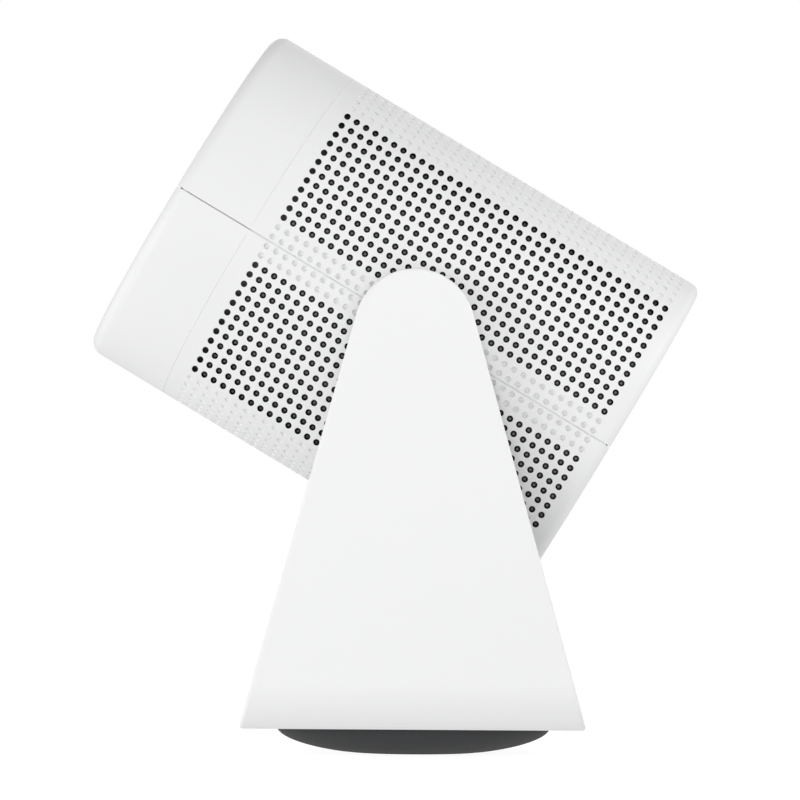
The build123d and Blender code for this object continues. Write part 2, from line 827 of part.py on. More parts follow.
def rear_cover():
    plate = disc_y(flange_radius, rear_plate_front, rear_plate_rear)
    rim_outer = mouth_radius - slip_gap
    rim = ring_y(rim_outer, rim_outer - rear_rim_width, rear_plate_rear - embed,
                 rear_plate_rear + rear_rim_height)
    dish = disc_y(hub_dish_radius + hub_dish_wall, dish_floor_front, rear_plate_rear)
    well = disc_y(hub_dish_radius, dish_floor_rear, rear_plate_rear + margin)
    slots = []
    slots_start = hub_dish_radius + hub_dish_wall + slot_bar
    slots_end = mouth_radius - slot_edge_inset
    length = (slots_end - slots_start - (slot_rings - 1) * slot_bar) / slot_rings
    for ring in range(slot_rings):
        middle = slots_start + length / 2 + ring * (length + slot_bar)
        slot = Pos(middle, rear_plate_front, 0) * Rot(90, 0, 0) * extrude(
            SlotOverall(length, slot_width), amount=4 * rear_plate_thickness, both=True)
        slots += around_y(slot, slot_count, start=180 / slot_count)
    floor_ends = (dish_floor_front - margin, dish_floor_rear + margin)
    plate_ends = (rear_plate_front - margin, rear_plate_rear + margin)
    shaft_hole = disc_y(switch_bush_radius + fit_gap, *floor_ends)
    socket_hole = slot_y(socket_width + 2 * fit_gap, socket_height + 2 * fit_gap, *floor_ends,
                         -socket_offset)
    screw_holes = [disc_y(screw_radius + fit_gap, *plate_ends, x, z)
                   for x, z in rear_screw_places()]
    cover = plate + [dish, rim] - [well, shaft_hole, socket_hole] - screw_holes
    return solid_of(cover - slots)


def rear_screw_places():
    corners = [rear_screw_angle, 180 - rear_screw_angle,
               180 + rear_screw_angle, 360 - rear_screw_angle]
    return [(rear_screw_circle * math.cos(math.radians(a)),
             rear_screw_circle * math.sin(math.radians(a))) for a in corners]


def rear_screws():
    length = screw_length - fit_gap
    return group([screw_y(x, z, rear_plate_rear, length) for x, z in rear_screw_places()])


def control_box():
    outer = control_box_radius + control_box_wall
    cup = ring_y(outer, control_box_radius, box_front, dish_floor_front)
    floor = disc_y(outer, box_front, box_front + control_box_wall)
    ledge = ring_y(outer - embed, control_box_radius - control_box_wall, box_front, board_front)
    hole = disc_y(conduit_radius + fit_gap, box_front - margin, box_front + 2 * control_box_wall,
                  z=conduit_offset)
    return solid_of(cup + [floor, ledge] - hole)


def control_board():
    return solid_of(disc_y(control_box_radius - fit_gap, board_front, board_rear))


def rotary_switch():
    half = switch_size / 2
    body = block(-half, half, board_rear, board_rear + switch_height, -half, half)
    bush = disc_y(switch_bush_radius, board_rear, dish_floor_rear)
    bore = disc_y(switch_shaft_radius + running_gap, board_rear + board_thickness, rear_y)
    return solid_of(body + bush - bore)


def slot_y(width, height, start, end, z):
    sheet = SlotOverall(width, height)
    return Pos(0, end, z) * Rot(90, 0, 0) * extrude(sheet, amount=end - start)


def power_socket():
    body = slot_y(socket_width, socket_height, board_rear, dish_floor_rear, -socket_offset)
    bottom = dish_floor_rear - socket_mouth_depth
    mouth = slot_y(socket_mouth_width, socket_mouth_height, bottom, dish_floor_rear + margin,
                   -socket_offset)
    tongue = block(-tongue_width / 2, tongue_width / 2, bottom - embed,
                   dish_floor_rear - tongue_setback, -tongue_thickness / 2, tongue_thickness / 2)
    return solid_of(body - mouth + Pos(0, 0, -socket_offset) * tongue)


def switch_shaft():
    start = dish_floor_rear + knob_lift + knob_height - pointer_depth - fit_gap
    return solid_of(disc_y(switch_shaft_radius, start - switch_shaft_length, start))


def knob_base():
    return dish_floor_rear + knob_lift


def pointer_block(clearance):
    rear = knob_base() + knob_height
    outer = knob_radius - knob_edge_radius - fit_gap
    half = pointer_width / 2 + clearance
    return block(-half, half, rear - pointer_depth - clearance, rear,
                 outer - pointer_length - clearance, outer + clearance)


def speed_knob():
    knob = disc_y(knob_radius, knob_base(), knob_base() + knob_height)
    rear_edge = knob.edges().filter_by(GeomType.CIRCLE).sort_by(Axis.Y)[-1:]
    knob = fillet(rear_edge, knob_edge_radius)
    grips = around_y(disc_y(knob_grip_radius, knob_base() - margin, rear_y + margin, x=knob_radius),
                     knob_grips, start=180 / knob_grips)
    top = knob_base() + knob_height - pointer_depth
    bore = disc_y(switch_shaft_radius, knob_base() - margin, top)
    return solid_of(knob - grips - bore - pointer_block(0))


def knob_pointer():
    return solid_of(pointer_block(0))


def lead_conduit():
    start, end = base_rear, box_front + control_box_wall
    return solid_of(ring_y(conduit_radius, conduit_radius - conduit_wall, start, end,
                           z=conduit_offset))


def motor_lead():
    return solid_of(disc_y(lead_radius, base_front, board_front, z=conduit_offset))


# ---- stand ----

def arm_outline(inset, bottom):
    # Teardrop seen along X: a round head, with straight sides down to the wide base.
    height = pivot_height - stand_bottom
    half_angle = tangent_angle(height)
    head = arm_head_radius - inset
    touch = (head * math.cos(half_angle), pivot_height + head * math.sin(half_angle))
    slope = math.tan(half_angle)
    low_width = touch[0] + (touch[1] - bottom) * slope
    crown = (0, pivot_height + head)
    left = (-touch[0], touch[1])
    edges = [
        ThreePointArc(touch, crown, left),
        Line(left, (-low_width, bottom)),
        Line((-low_width, bottom), (low_width, bottom)),
        Line((low_width, bottom), touch),
    ]
    return Plane.YZ * make_face(edges)


def tangent_angle(height):
    # Lean of the arm's sides from upright, from the head's radius to the base's width.
    reach = math.hypot(arm_foot_half_width, height)
    return math.asin(arm_foot_half_width / reach) - math.asin(arm_head_radius / reach)


def arm_slab(inset, bottom):
    return extrude(arm_outline(inset, bottom), amount=2 * arm_outer, both=True)


def u_band(near, far):
    # The U seen along Y, between two depths measured in from its outer face.
    def channel(depth):
        half = arm_outer - depth
        bottom = stand_bottom + depth
        top = 2 * pivot_height
        radius = bend_radius(depth)
        sheet = Plane.XZ * (Pos(0, (bottom + top) / 2) * Rectangle(2 * half, top - bottom))
        body = extrude(sheet, amount=2 * arm_foot_half_width, both=True)
        corners = body.edges().filter_by(Axis.Y).group_by(Axis.Z)[0]
        return fillet(corners, radius)

    return channel(near) - channel(far)


def bend_radius(depth):
    share = depth / arm_thickness
    return stand_bend_radius + (stand_inner_bend_radius - stand_bend_radius) * share


def arm_screw_places():
    # Height above the table and sideways place of the screws in each arm.
    top = pivot_height - arm_screw_drop
    low = stand_bottom + arm_screw_lift
    places = [(top, 0.0)]
    for height in ((top + low) / 2, low):
        lean = math.tan(tangent_angle(pivot_height - stand_bottom))
        edge = arm_foot_half_width - (height - stand_bottom) * lean
        places += [(height, side * (edge - arm_screw_inset)) for side in (1, -1)]
    return places


def floor_screw_places():
    x = arm_inner - floor_screw_side_inset
    y = arm_foot_half_width - floor_screw_end_inset
    return [(side * x, end * y) for side in (1, -1) for end in (1, -1)]


def stand_outer():
    top_margin = 2 * pivot_height
    body = u_band(0, arm_thickness) & arm_slab(0, stand_bottom)
    body = fillet(body.edges(), stand_edge_radius)
    hollow = u_band(stand_wall, arm_thickness + margin) & arm_slab(stand_wall, -top_margin)
    shell = body - hollow
    floor_bottom = stand_bottom + stand_wall
    arm_wall = arm_outer - stand_wall
    bosses = []
    pilots = []
    for z, y in arm_screw_places():
        boss = disc_x(screw_boss_radius, liner_back + fit_gap, arm_wall + embed, y, z)
        pilot = disc_x(screw_radius - fit_gap, liner_back - margin, arm_wall, y, z)
        bosses += both_sides(boss)
        pilots += both_sides(pilot)
    hub_top = floor_bottom + swivel_boss_height
    hub = disc_z(swivel_boss_radius, floor_bottom - embed, hub_top)
    stop = disc_z(stop_pin_radius, stand_bottom - stop_pin_length, stand_bottom + embed,
                  y=stop_pin_circle)
    bore = disc_z(spindle_radius + running_gap, stand_bottom - margin, hub_top + margin)
    heads = [disc_z(screw_head_radius + fit_gap, stand_bottom - margin,
                    stand_bottom + screw_head_height, x, y) for x, y in floor_screw_places()]
    shanks = [disc_z(screw_radius + fit_gap, stand_bottom - margin, floor_bottom + margin, x, y)
              for x, y in floor_screw_places()]
    return solid_of(shell + bosses + [hub, stop] - pilots - [bore] - heads - shanks)


def stand_inner():
    inset = stand_wall + liner_gap
    liner = u_band(arm_thickness - stand_wall, arm_thickness) & arm_slab(inset, -pivot_height)
    collar = in_stand(disc_x(bush_boss_radius, liner_back - embed, bush_end))
    seat = in_stand(disc_x(bush_flange_radius + fit_gap, 0, bush_seat))
    bore = in_stand(disc_x(bush_barrel_radius, 0, arm_outer))
    cuts = both_sides(seat) + both_sides(bore)
    for z, y in arm_screw_places():
        start = arm_inner - margin
        cuts += both_sides(disc_x(screw_head_radius + fit_gap, start,
                                  arm_inner + screw_head_height, y, z))
        cuts += both_sides(disc_x(screw_radius + fit_gap, start, liner_back + margin, y, z))
    floor_top = stand_bottom + arm_thickness - stand_wall
    post_bottom = stand_bottom + stand_wall + fit_gap
    posts = [disc_z(screw_boss_radius, post_bottom, floor_top + embed, x, y)
             for x, y in floor_screw_places()]
    pilots = [disc_z(screw_radius - fit_gap, post_bottom - margin, floor_top, x, y)
              for x, y in floor_screw_places()]
    return solid_of(liner + both_sides(collar) + posts - cuts - pilots)


def stand_screws():
    shapes = []
    for z, y in arm_screw_places():
        head = disc_x(screw_head_radius, arm_inner, arm_inner + screw_head_height, y, z)
        shank = disc_x(screw_radius - fit_gap, arm_inner + screw_head_height,
                       arm_inner + screw_length, y, z)
        shapes += both_sides(head + shank)
    for x, y in floor_screw_places():
        head = disc_z(screw_head_radius, stand_bottom, stand_bottom + screw_head_height, x, y)
        shank = disc_z(screw_radius - fit_gap, stand_bottom + screw_head_height,
                       stand_bottom + screw_length, x, y)
        shapes.append(head + shank)
    return group(shapes)


# ---- pivot hardware ----

def pivot_bushes():
    bush = disc_x(bush_flange_radius, bush_face, bush_seat)
    bush += disc_x(bush_barrel_radius, bush_face, bush_end)
    bush -= disc_x(journal_radius + running_gap, 0, 2 * arm_outer)
    return in_stand(group(both_sides(bush)))


def friction_washers():
    start = collar_end
    washer = ring_x(collar_radius, journal_radius + fit_gap, start,
                    start + friction_washer_thickness)
    return group(both_sides(washer))


def wave_washers():
    end = journal_end
    washer = ring_x(wave_washer_radius, journal_radius + fit_gap, end - wave_washer_thickness, end)
    return group(both_sides(washer))


def pivot_caps():
    end = journal_end + pivot_cap_thickness
    cap = disc_x(pivot_cap_radius, journal_end, end)
    slope = pivot_screw_head_radius - pivot_screw_radius
    sink = Pos(end - slope / 2, 0, 0) * Rot(0, 90, 0) * Cone(
        pivot_screw_radius, pivot_screw_head_radius, slope)
    cap = cap - sink - disc_x(pivot_screw_radius, journal_end - margin, end + margin)
    return group(both_sides(cap))


def pivot_screws():
    end = journal_end + pivot_cap_thickness
    slope = pivot_screw_head_radius - pivot_screw_radius
    head = Pos(end - slope / 2, 0, 0) * Rot(0, 90, 0) * Cone(
        pivot_screw_radius, pivot_screw_head_radius, slope)
    tip = journal_end - pivot_screw_length + pivot_screw_tip_gap
    shank = disc_x(pivot_screw_radius, tip, end - slope)
    return group(both_sides(head + shank))


# ---- foot and swivel ----

def foot_semi_height():
    share = math.sqrt(1 - (foot_flat_radius / foot_radius) ** 2)
    return foot_widest_height / share


def foot_bowl(inset, bottom, top):
    # Half ellipse below the widest height, upright above it, cut flat at the bottom.
    radius = foot_radius - inset
    semi = foot_semi_height() - inset
    drop = foot_widest_height - bottom
    flat = radius * math.sqrt(1 - (drop / semi) ** 2)
    angle = math.degrees(math.asin(drop / semi))
    curve = EllipticalCenterArc((0, foot_widest_height), radius, semi,
                                start_angle=-angle, arc_size=angle)
    outline = [
        curve,
        Line((radius, foot_widest_height), (radius, top)),
        Line((radius, top), (0, top)),
        Line((0, top), (0, bottom)),
        Line((0, bottom), (flat, bottom)),
    ]
    return revolve(Plane.XZ * make_face(outline), axis=Axis.Z)


def foot_screw_spots():
    return circle_places(foot_screw_circle, foot_screw_count, 180 / foot_screw_count)


def foot_base():
    body = foot_bowl(0, foot_pad_proud, foot_top)
    rim = body.edges().filter_by(GeomType.CIRCLE).group_by(Axis.Z)[-1]
    body = fillet(rim, foot_lip_radius)
    hollow_bottom = foot_pad_thickness + foot_wall
    cover_bottom = foot_top - foot_cover_thickness
    hollow = foot_bowl(foot_wall, hollow_bottom, cover_bottom)
    cover_seat = disc_z(foot_cover_radius + fit_gap, cover_bottom - margin, foot_top + margin)
    pad_seat = disc_z(foot_pad_radius + fit_gap, -1, foot_pad_thickness)
    bosses = [disc_z(screw_boss_radius, hollow_bottom - embed, cover_bottom, x, y)
              for x, y in foot_screw_spots()]
    pilots = [disc_z(screw_radius - fit_gap, hollow_bottom, foot_top, x, y)
              for x, y in foot_screw_spots()]
    return solid_of(body - hollow - cover_seat - pad_seat + bosses - pilots)


def foot_pad():
    return solid_of(disc_z(foot_pad_radius, 0, foot_pad_thickness))


def ballast_bottom():
    return foot_pad_thickness + foot_wall


def foot_ballast():
    bottom = ballast_bottom()
    plate = disc_z(ballast_radius, bottom, bottom + ballast_thickness)
    shape = plate & foot_bowl(foot_wall + slip_gap, bottom, foot_top)
    holes = [disc_z(screw_boss_radius + slip_gap, 0, foot_top, x, y) for x, y in foot_screw_spots()]
    centre = disc_z(spindle_flange_radius + slip_gap, 0, foot_top)
    return solid_of(shape - holes - centre)


def foot_cover():
    bottom = foot_top - foot_cover_thickness
    cover = disc_z(foot_cover_radius, bottom, foot_top)
    groove = ring_z(glide_outer_radius + fit_gap, glide_inner_radius - fit_gap,
                    foot_top - glide_thickness + slip_gap, foot_top + margin)
    bore = disc_z(spindle_radius + fit_gap, 0, foot_top + margin)
    holes = [disc_z(screw_radius + fit_gap, 0, foot_top + margin, x, y)
             for x, y in foot_screw_spots()]
    sinks = [disc_z(screw_head_radius + fit_gap, foot_top - screw_head_height,
                    foot_top + margin, x, y) for x, y in foot_screw_spots()]
    return solid_of(cover - groove - bore - holes - sinks - stop_slot())


def stop_slot():
    # Arc groove that the stand's stop pin runs in, a little past each end of the swivel.
    angle = swivel_range + math.degrees((stop_pin_radius + slip_gap) / stop_pin_circle)
    width = stop_pin_radius + slip_gap
    slot = ring_z(stop_pin_circle + width, stop_pin_circle - width,
                  foot_top - stop_pin_length, foot_top + margin)
    reach = 2 * stop_pin_circle
    side = math.tan(math.radians(angle)) * reach
    wedge = make_face([Line((0, 0), (side, reach)), Line((side, reach), (-side, reach)),
                       Line((-side, reach), (0, 0))])
    return slot & extrude(wedge, amount=foot_top + 2 * margin)


def foot_screws():
    shapes = []
    for x, y in foot_screw_spots():
        seat = foot_top - screw_head_height
        head = disc_z(screw_head_radius, seat, foot_top - fit_gap, x, y)
        shank = disc_z(screw_radius - fit_gap, ballast_bottom() + fit_gap, seat, x, y)
        shapes.append(head + shank)
    return group(shapes)


def glide_ring():
    bottom = foot_top - glide_thickness + slip_gap
    return solid_of(ring_z(glide_outer_radius, glide_inner_radius, bottom,
                           stand_bottom - fit_gap))


def spindle_top():
    nut_bottom = stand_bottom + stand_wall + swivel_boss_height + fit_gap + swivel_washer_thickness
    return nut_bottom + swivel_nut_thickness


def swivel_spindle():
    cover_bottom = foot_top - foot_cover_thickness
    flange = disc_z(spindle_flange_radius, cover_bottom - spindle_flange_thickness, cover_bottom)
    post = disc_z(spindle_radius, cover_bottom - spindle_flange_thickness, spindle_top())
    bore = disc_z(spindle_bore_radius, 0, 2 * spindle_top())
    return solid_of(flange + post - bore)


def swivel_washer():
    top = spindle_top() - swivel_nut_thickness
    return solid_of(ring_z(swivel_washer_radius, spindle_radius + fit_gap,
                           top - swivel_washer_thickness, top))


def swivel_nut():
    bottom = spindle_top() - swivel_nut_thickness
    hexagon = RegularPolygon(swivel_nut_radius, 6)
    nut = Pos(0, 0, bottom) * extrude(hexagon, amount=swivel_nut_thickness)
    return solid_of(nut - disc_z(spindle_radius, bottom - margin, spindle_top() + margin))


def build_parts():
    half = drill_trunnion_pilots(base_half_shell())
    right_trunnion = trunnion()
    drum_pieces = {
        "shell_upper": shell_upper(half),
        "shell_lower": shell_lower(half),
        "trunnion_right": right_trunnion,
        "trunnion_left": mirror(right_trunnion, about=Plane.YZ),
        "trunnion_screws": trunnion_screws(),
        "friction_washers": friction_washers(),
        "wave_washers": wave_washers(),
        "pivot_caps": pivot_caps(),
        "pivot_screws": pivot_screws(),
        "front_grille": front_grille(),
        "grille_cap": grille_cap(),
        "air_duct": air_duct(),
        "motor_bracket": motor_bracket(),
        "bracket_screws": bracket_screws(),
        "motor_bearings": motor_bearings(),
        "motor_board": motor_board(),
        "motor_stator": motor_stator(),
        "motor_windings": motor_windings(),
        "dust_screens": dust_screens(),
        "rear_cover": rear_cover(),
        "rear_screws": rear_screws(),
        "control_box": control_box(),
        "control_board": control_board(),
        "rotary_switch": rotary_switch(),
        "power_socket": power_socket(),
        "lead_conduit": lead_conduit(),
        "motor_lead": motor_lead(),
        "impeller": impeller(),
        "impeller_nut": impeller_nut(),
        "rotor_cup": rotor_cup(),
        "rotor_magnet": rotor_magnet(),
        "motor_shaft": motor_shaft(),
        "speed_knob": speed_knob(),
        "knob_pointer": knob_pointer(),
        "switch_shaft": switch_shaft(),
    }
    parts = {name: in_drum(shape) for name, shape in drum_pieces.items()}
    parts.update({
        "stand_outer": stand_outer(),
        "stand_inner": stand_inner(),
        "stand_screws": stand_screws(),
        "pivot_bushes": pivot_bushes(),
        "foot_base": foot_base(),
        "foot_cover": foot_cover(),
        "foot_ballast": foot_ballast(),
        "foot_pad": foot_pad(),
        "foot_screws": foot_screws(),
        "glide_ring": glide_ring(),
        "swivel_spindle": swivel_spindle(),
        "swivel_washer": swivel_washer(),
        "swivel_nut": swivel_nut(),
    })
    return parts


os.makedirs("parts", exist_ok=True)
for name, shape in build_parts().items():
    export_step(shape, f"parts/{name}.step", write_pcurves=False)
    print(name, round(shape.volume), "mm3")
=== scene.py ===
import bmesh
import bpy
import json
import math
import numpy as np
from mathutils import Matrix, Vector


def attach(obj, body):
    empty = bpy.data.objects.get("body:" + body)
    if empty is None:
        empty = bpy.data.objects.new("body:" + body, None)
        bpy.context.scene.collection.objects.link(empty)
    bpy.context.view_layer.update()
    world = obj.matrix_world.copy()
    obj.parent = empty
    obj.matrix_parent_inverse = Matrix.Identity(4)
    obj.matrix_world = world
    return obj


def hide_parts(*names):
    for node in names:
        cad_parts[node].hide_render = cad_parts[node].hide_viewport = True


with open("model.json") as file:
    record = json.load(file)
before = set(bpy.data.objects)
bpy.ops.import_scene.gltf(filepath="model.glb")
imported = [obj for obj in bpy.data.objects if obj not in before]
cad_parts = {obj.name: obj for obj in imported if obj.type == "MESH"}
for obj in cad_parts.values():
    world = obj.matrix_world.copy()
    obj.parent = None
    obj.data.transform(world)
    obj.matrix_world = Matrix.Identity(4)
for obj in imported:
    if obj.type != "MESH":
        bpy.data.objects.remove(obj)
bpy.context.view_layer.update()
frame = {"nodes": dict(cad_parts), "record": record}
nodes = frame["nodes"]
print("frame loaded with", len(nodes), "nodes")

mm = 0.001
hair = 0.001 * mm  # places this close are taken as one
waveTurn = 20  # radians that a wave texture turns through in one unit
drumPose = {"tilt": 30.8, "pivotHeight": 172.0}  # degrees nose up, and the pivot's height in mm
drumToWorld = Matrix.Translation((0, 0, drumPose["pivotHeight"] * mm)) @ Matrix.Rotation(
    -math.radians(drumPose["tilt"]), 4, "X")


def clearSelection():
    if bpy.context.object is not None and bpy.context.object.mode != "OBJECT":
        bpy.ops.object.mode_set(mode="OBJECT")
    bpy.ops.object.select_all(action="DESELECT")


def workOn(piece):
    clearSelection()
    piece.select_set(True)
    bpy.context.view_layer.objects.active = piece


def startEditing(piece):
    workOn(piece)
    bpy.ops.object.mode_set(mode="EDIT")
    bpy.ops.mesh.select_mode(type="VERT")


def stopEditing():
    bpy.ops.object.mode_set(mode="OBJECT")


def pickVertices(test):
    # selects the vertices whose place passes the test, in the mesh being edited
    edited = bmesh.from_edit_mesh(bpy.context.object.data)
    for vertex in edited.verts:
        vertex.select = bool(test(vertex.co))
    edited.select_flush_mode()
    bmesh.update_edit_mesh(bpy.context.object.data)


def pickEdges(test):
    bpy.ops.mesh.select_mode(type="EDGE")
    edited = bmesh.from_edit_mesh(bpy.context.object.data)
    for edge in edited.edges:
        edge.select = bool(test(edge))
    edited.select_flush_mode()
    bmesh.update_edit_mesh(bpy.context.object.data)


def tidyMesh(piece):
    startEditing(piece)
    bpy.ops.mesh.select_all(action="SELECT")
    bpy.ops.mesh.remove_doubles(threshold=hair)
    bpy.ops.mesh.normals_make_consistent(inside=False)
    stopEditing()


def settle(piece, matrix):
    # the piece's place goes into its mesh
    piece.data.transform(matrix @ piece.matrix_world)
    piece.matrix_world = Matrix.Identity(4)


def newPiece(name, points, faces):
    mesh = bpy.data.meshes.new(name)
    mesh.from_pydata([tuple(p) for p in points], [], faces)
    piece = bpy.data.objects.new(name, mesh)
    bpy.context.scene.collection.objects.link(piece)
    return piece


def joinAll(pieces):
    # the first piece takes up the others
    workOn(pieces[0])
    for piece in pieces[1:]:
        piece.select_set(True)
    bpy.ops.object.join()
    return pieces[0]


def smoothSurface(piece, degrees):
    workOn(piece)
    bpy.ops.object.shade_smooth_by_angle(angle=math.radians(degrees))


class Wire:
    # a node's output that takes part in plain arithmetic
    def __init__(self, finish, socket):
        self.finish = finish
        self.socket = socket

    def reckon(self, operation, first, second):
        return self.finish.node("ShaderNodeMath", {"operation": operation}, {0: first, 1: second})

    def __add__(self, other):
        return self.reckon("ADD", self, other)

    def __sub__(self, other):
        return self.reckon("SUBTRACT", self, other)

    def __rsub__(self, other):
        return self.reckon("SUBTRACT", other, self)

    def __mul__(self, other):
        return self.reckon("MULTIPLY", self, other)

    __radd__ = __add__
    __rmul__ = __mul__


class Finish:
    def __init__(self, name):
        self.material = bpy.data.materials.new(name)
        self.material.use_nodes = True
        self.tree = self.material.node_tree
        self.tree.nodes.clear()

    def node(self, kind, settings, inputs, output=0):
        made = self.tree.nodes.new(kind)
        for key, value in settings.items():
            setattr(made, key, value)
        for key, value in inputs.items():
            if isinstance(value, Wire):
                self.tree.links.new(value.socket, made.inputs[key])
            else:
                made.inputs[key].default_value = value
        return Wire(self, made.outputs[output]) if made.outputs else None

    def place(self):
        return self.node("ShaderNodeTexCoord", {}, {}, "Object")

    def drumPlace(self):
        # the drum's own frame: its axis along Y, the pivot at the middle
        turn = math.radians(drumPose["tilt"])
        height = drumPose["pivotHeight"] * mm
        return self.node("ShaderNodeMapping", {}, {
            "Vector": self.place(), "Rotation": (turn, 0, 0),
            "Location": (0, height * math.sin(turn), -height * math.cos(turn))})

    def noise(self, place, size, detail=2.0, roughness=0.5):
        return self.node("ShaderNodeTexNoise", {}, {
            "Vector": place, "Scale": 1 / (size * mm), "Detail": detail, "Roughness": roughness})

    def blend(self, factor, first, second):
        return self.node("ShaderNodeMix", {"data_type": "RGBA"}, {
            0: factor, 6: (*first, 1) if isinstance(first, tuple) else first,
            7: (*second, 1) if isinstance(second, tuple) else second}, 2)

    def clamp(self, value):
        return self.node("ShaderNodeClamp", {}, {"Value": value})

    def waves(self, place, settings, span, distortion=0.0):
        # span: the millimetres in which the wave turns through one radian
        return self.node("ShaderNodeTexWave", settings, {
            "Vector": place, "Scale": 1 / (waveTurn * span * mm), "Distortion": distortion})

    def bump(self, height, depth):
        return self.node("ShaderNodeBump", {}, {
            "Height": height, "Strength": 1.0, "Distance": depth * mm})

    def close(self, inputs):
        shader = self.node("ShaderNodeBsdfPrincipled", {}, inputs)
        self.node("ShaderNodeOutputMaterial", {}, {"Surface": shader})
        return self.material


def shade(colour, factor):
    return tuple(min(1.0, c * factor) for c in colour)


def swing(noise, reach):
    # a noise lies round 0.5, so this goes half the reach up and down
    return (noise - 0.5) * reach


def weigh(first, second, share):
    return first * share + second * (1 - share)


def mouldedPlastic(name, look):
    # fine spark texture, a faint cloudiness from the moulding and a slight sheen change
    finish = Finish(name)
    place = finish.place()
    grain = finish.noise(place, look["grain"], detail=3.0, roughness=0.6)
    cloud = finish.noise(place, look["cloud"])
    colour = finish.blend(cloud, shade(look["colour"], 1 - look["drift"]),
                          shade(look["colour"], 1 + look["drift"]))
    if "paintedShadeTone" in look:
        # painted shade: the colour darkens towards the table, standing in for the dim light under the
        # foot
        height = finish.node("ShaderNodeSeparateXYZ", {}, {"Vector": place}, 2)
        paintedShadeRise = finish.clamp(height * (1 / (look["paintedShadeHeight"] * mm)))
        colour = finish.blend(paintedShadeRise, shade(look["colour"], look["paintedShadeTone"]), colour)
    rough = look["roughness"] + swing(grain, look["sheenChange"]) + swing(cloud, look["sheenChange"])
    return finish.close({
        "Base Color": colour, "Roughness": rough, "Specular IOR Level": look["gloss"],
        "Normal": finish.bump(grain, look["grainDepth"])})


# linear colours; grain is the size of the spark texture and cloud that of the cloudiness, in mm
plasticLooks = {
    "shell_plastic": {"colour": (0.862, 0.864, 0.866), "roughness": 0.46, "grain": 0.35, "cloud": 18,
                      "grainDepth": 0.006, "drift": 0.004, "sheenChange": 0.06, "gloss": 0.4},
    "stand_plastic": {"colour": (0.905, 0.907, 0.909), "roughness": 0.5, "grain": 0.4, "cloud": 30,
                      "grainDepth": 0.008, "drift": 0.004, "sheenChange": 0.06, "gloss": 0.4},
    "liner_plastic": {"colour": (0.860, 0.862, 0.862), "roughness": 0.52, "grain": 0.4, "cloud": 26,
                      "grainDepth": 0.008, "drift": 0.006, "sheenChange": 0.06, "gloss": 0.4},
    "grille_plastic": {"colour": (0.820, 0.822, 0.824), "roughness": 0.42, "grain": 0.3, "cloud": 12,
                       "grainDepth": 0.005, "drift": 0.006, "sheenChange": 0.08, "gloss": 0.45},
    "duct_plastic": {"colour": (0.760, 0.762, 0.764), "roughness": 0.5, "grain": 0.35, "cloud": 14,
                     "grainDepth": 0.006, "drift": 0.01, "sheenChange": 0.08, "gloss": 0.4},
    "impeller_plastic": {"colour": (0.56, 0.57, 0.58), "roughness": 0.38, "grain": 0.3, "cloud": 9,
                         "grainDepth": 0.005, "drift": 0.015, "sheenChange": 0.08, "gloss": 0.5},
    "bracket_plastic": {"colour": (0.035, 0.036, 0.038), "roughness": 0.5, "grain": 0.4, "cloud": 9,
                        "grainDepth": 0.012, "drift": 0.08, "sheenChange": 0.12, "gloss": 0.45},
    "cover_plastic": {"colour": (0.822, 0.824, 0.826), "roughness": 0.46, "grain": 0.35, "cloud": 14,
                      "grainDepth": 0.007, "drift": 0.006, "sheenChange": 0.07, "gloss": 0.4},
    "box_plastic": {"colour": (0.040, 0.041, 0.043), "roughness": 0.55, "grain": 0.4, "cloud": 10,
                    "grainDepth": 0.014, "drift": 0.08, "sheenChange": 0.12, "gloss": 0.4},
    "knob_plastic": {"colour": (0.045, 0.046, 0.049), "roughness": 0.4, "grain": 0.25, "cloud": 6,
                     "grainDepth": 0.006, "drift": 0.06, "sheenChange": 0.1, "gloss": 0.5},
    "pointer_plastic": {"colour": (0.86, 0.86, 0.85), "roughness": 0.4, "grain": 0.25, "cloud": 4,
                        "grainDepth": 0.004, "drift": 0.01, "sheenChange": 0.06, "gloss": 0.5},
    "bush_plastic": {"colour": (0.70, 0.69, 0.64), "roughness": 0.35, "grain": 0.3, "cloud": 7,
                     "grainDepth": 0.004, "drift": 0.02, "sheenChange": 0.08, "gloss": 0.5},
    "socket_plastic": {"colour": (0.022, 0.022, 0.024), "roughness": 0.42, "grain": 0.3, "cloud": 5,
                       "grainDepth": 0.006, "drift": 0.08, "sheenChange": 0.1, "gloss": 0.5},
    # the foot's colour darkens near the table: painted shade for its dim underside
    "foot_plastic": {"colour": (0.050, 0.051, 0.053), "roughness": 0.66, "grain": 0.5, "cloud": 16,
                     "grainDepth": 0.02, "drift": 0.07, "sheenChange": 0.12, "gloss": 0.16,
                     "paintedShadeHeight": 8.0, "paintedShadeTone": 0.35},
}


def rubber(look):
    finish = Finish(look["name"])
    place = finish.place()
    pores = finish.noise(place, look["pores"], detail=4.0, roughness=0.7)
    dust = finish.noise(place, look["dustPatch"])
    dusting = (dust - look["dustFrom"]) * look["dustShare"] + pores * look["poreShare"]
    colour = finish.blend(dusting, look["colour"], look["dusty"])
    return finish.close({
        "Base Color": colour, "Roughness": look["roughness"] + pores * look["sheenChange"],
        "Specular IOR Level": look["gloss"], "Normal": finish.bump(pores, look["depth"])})


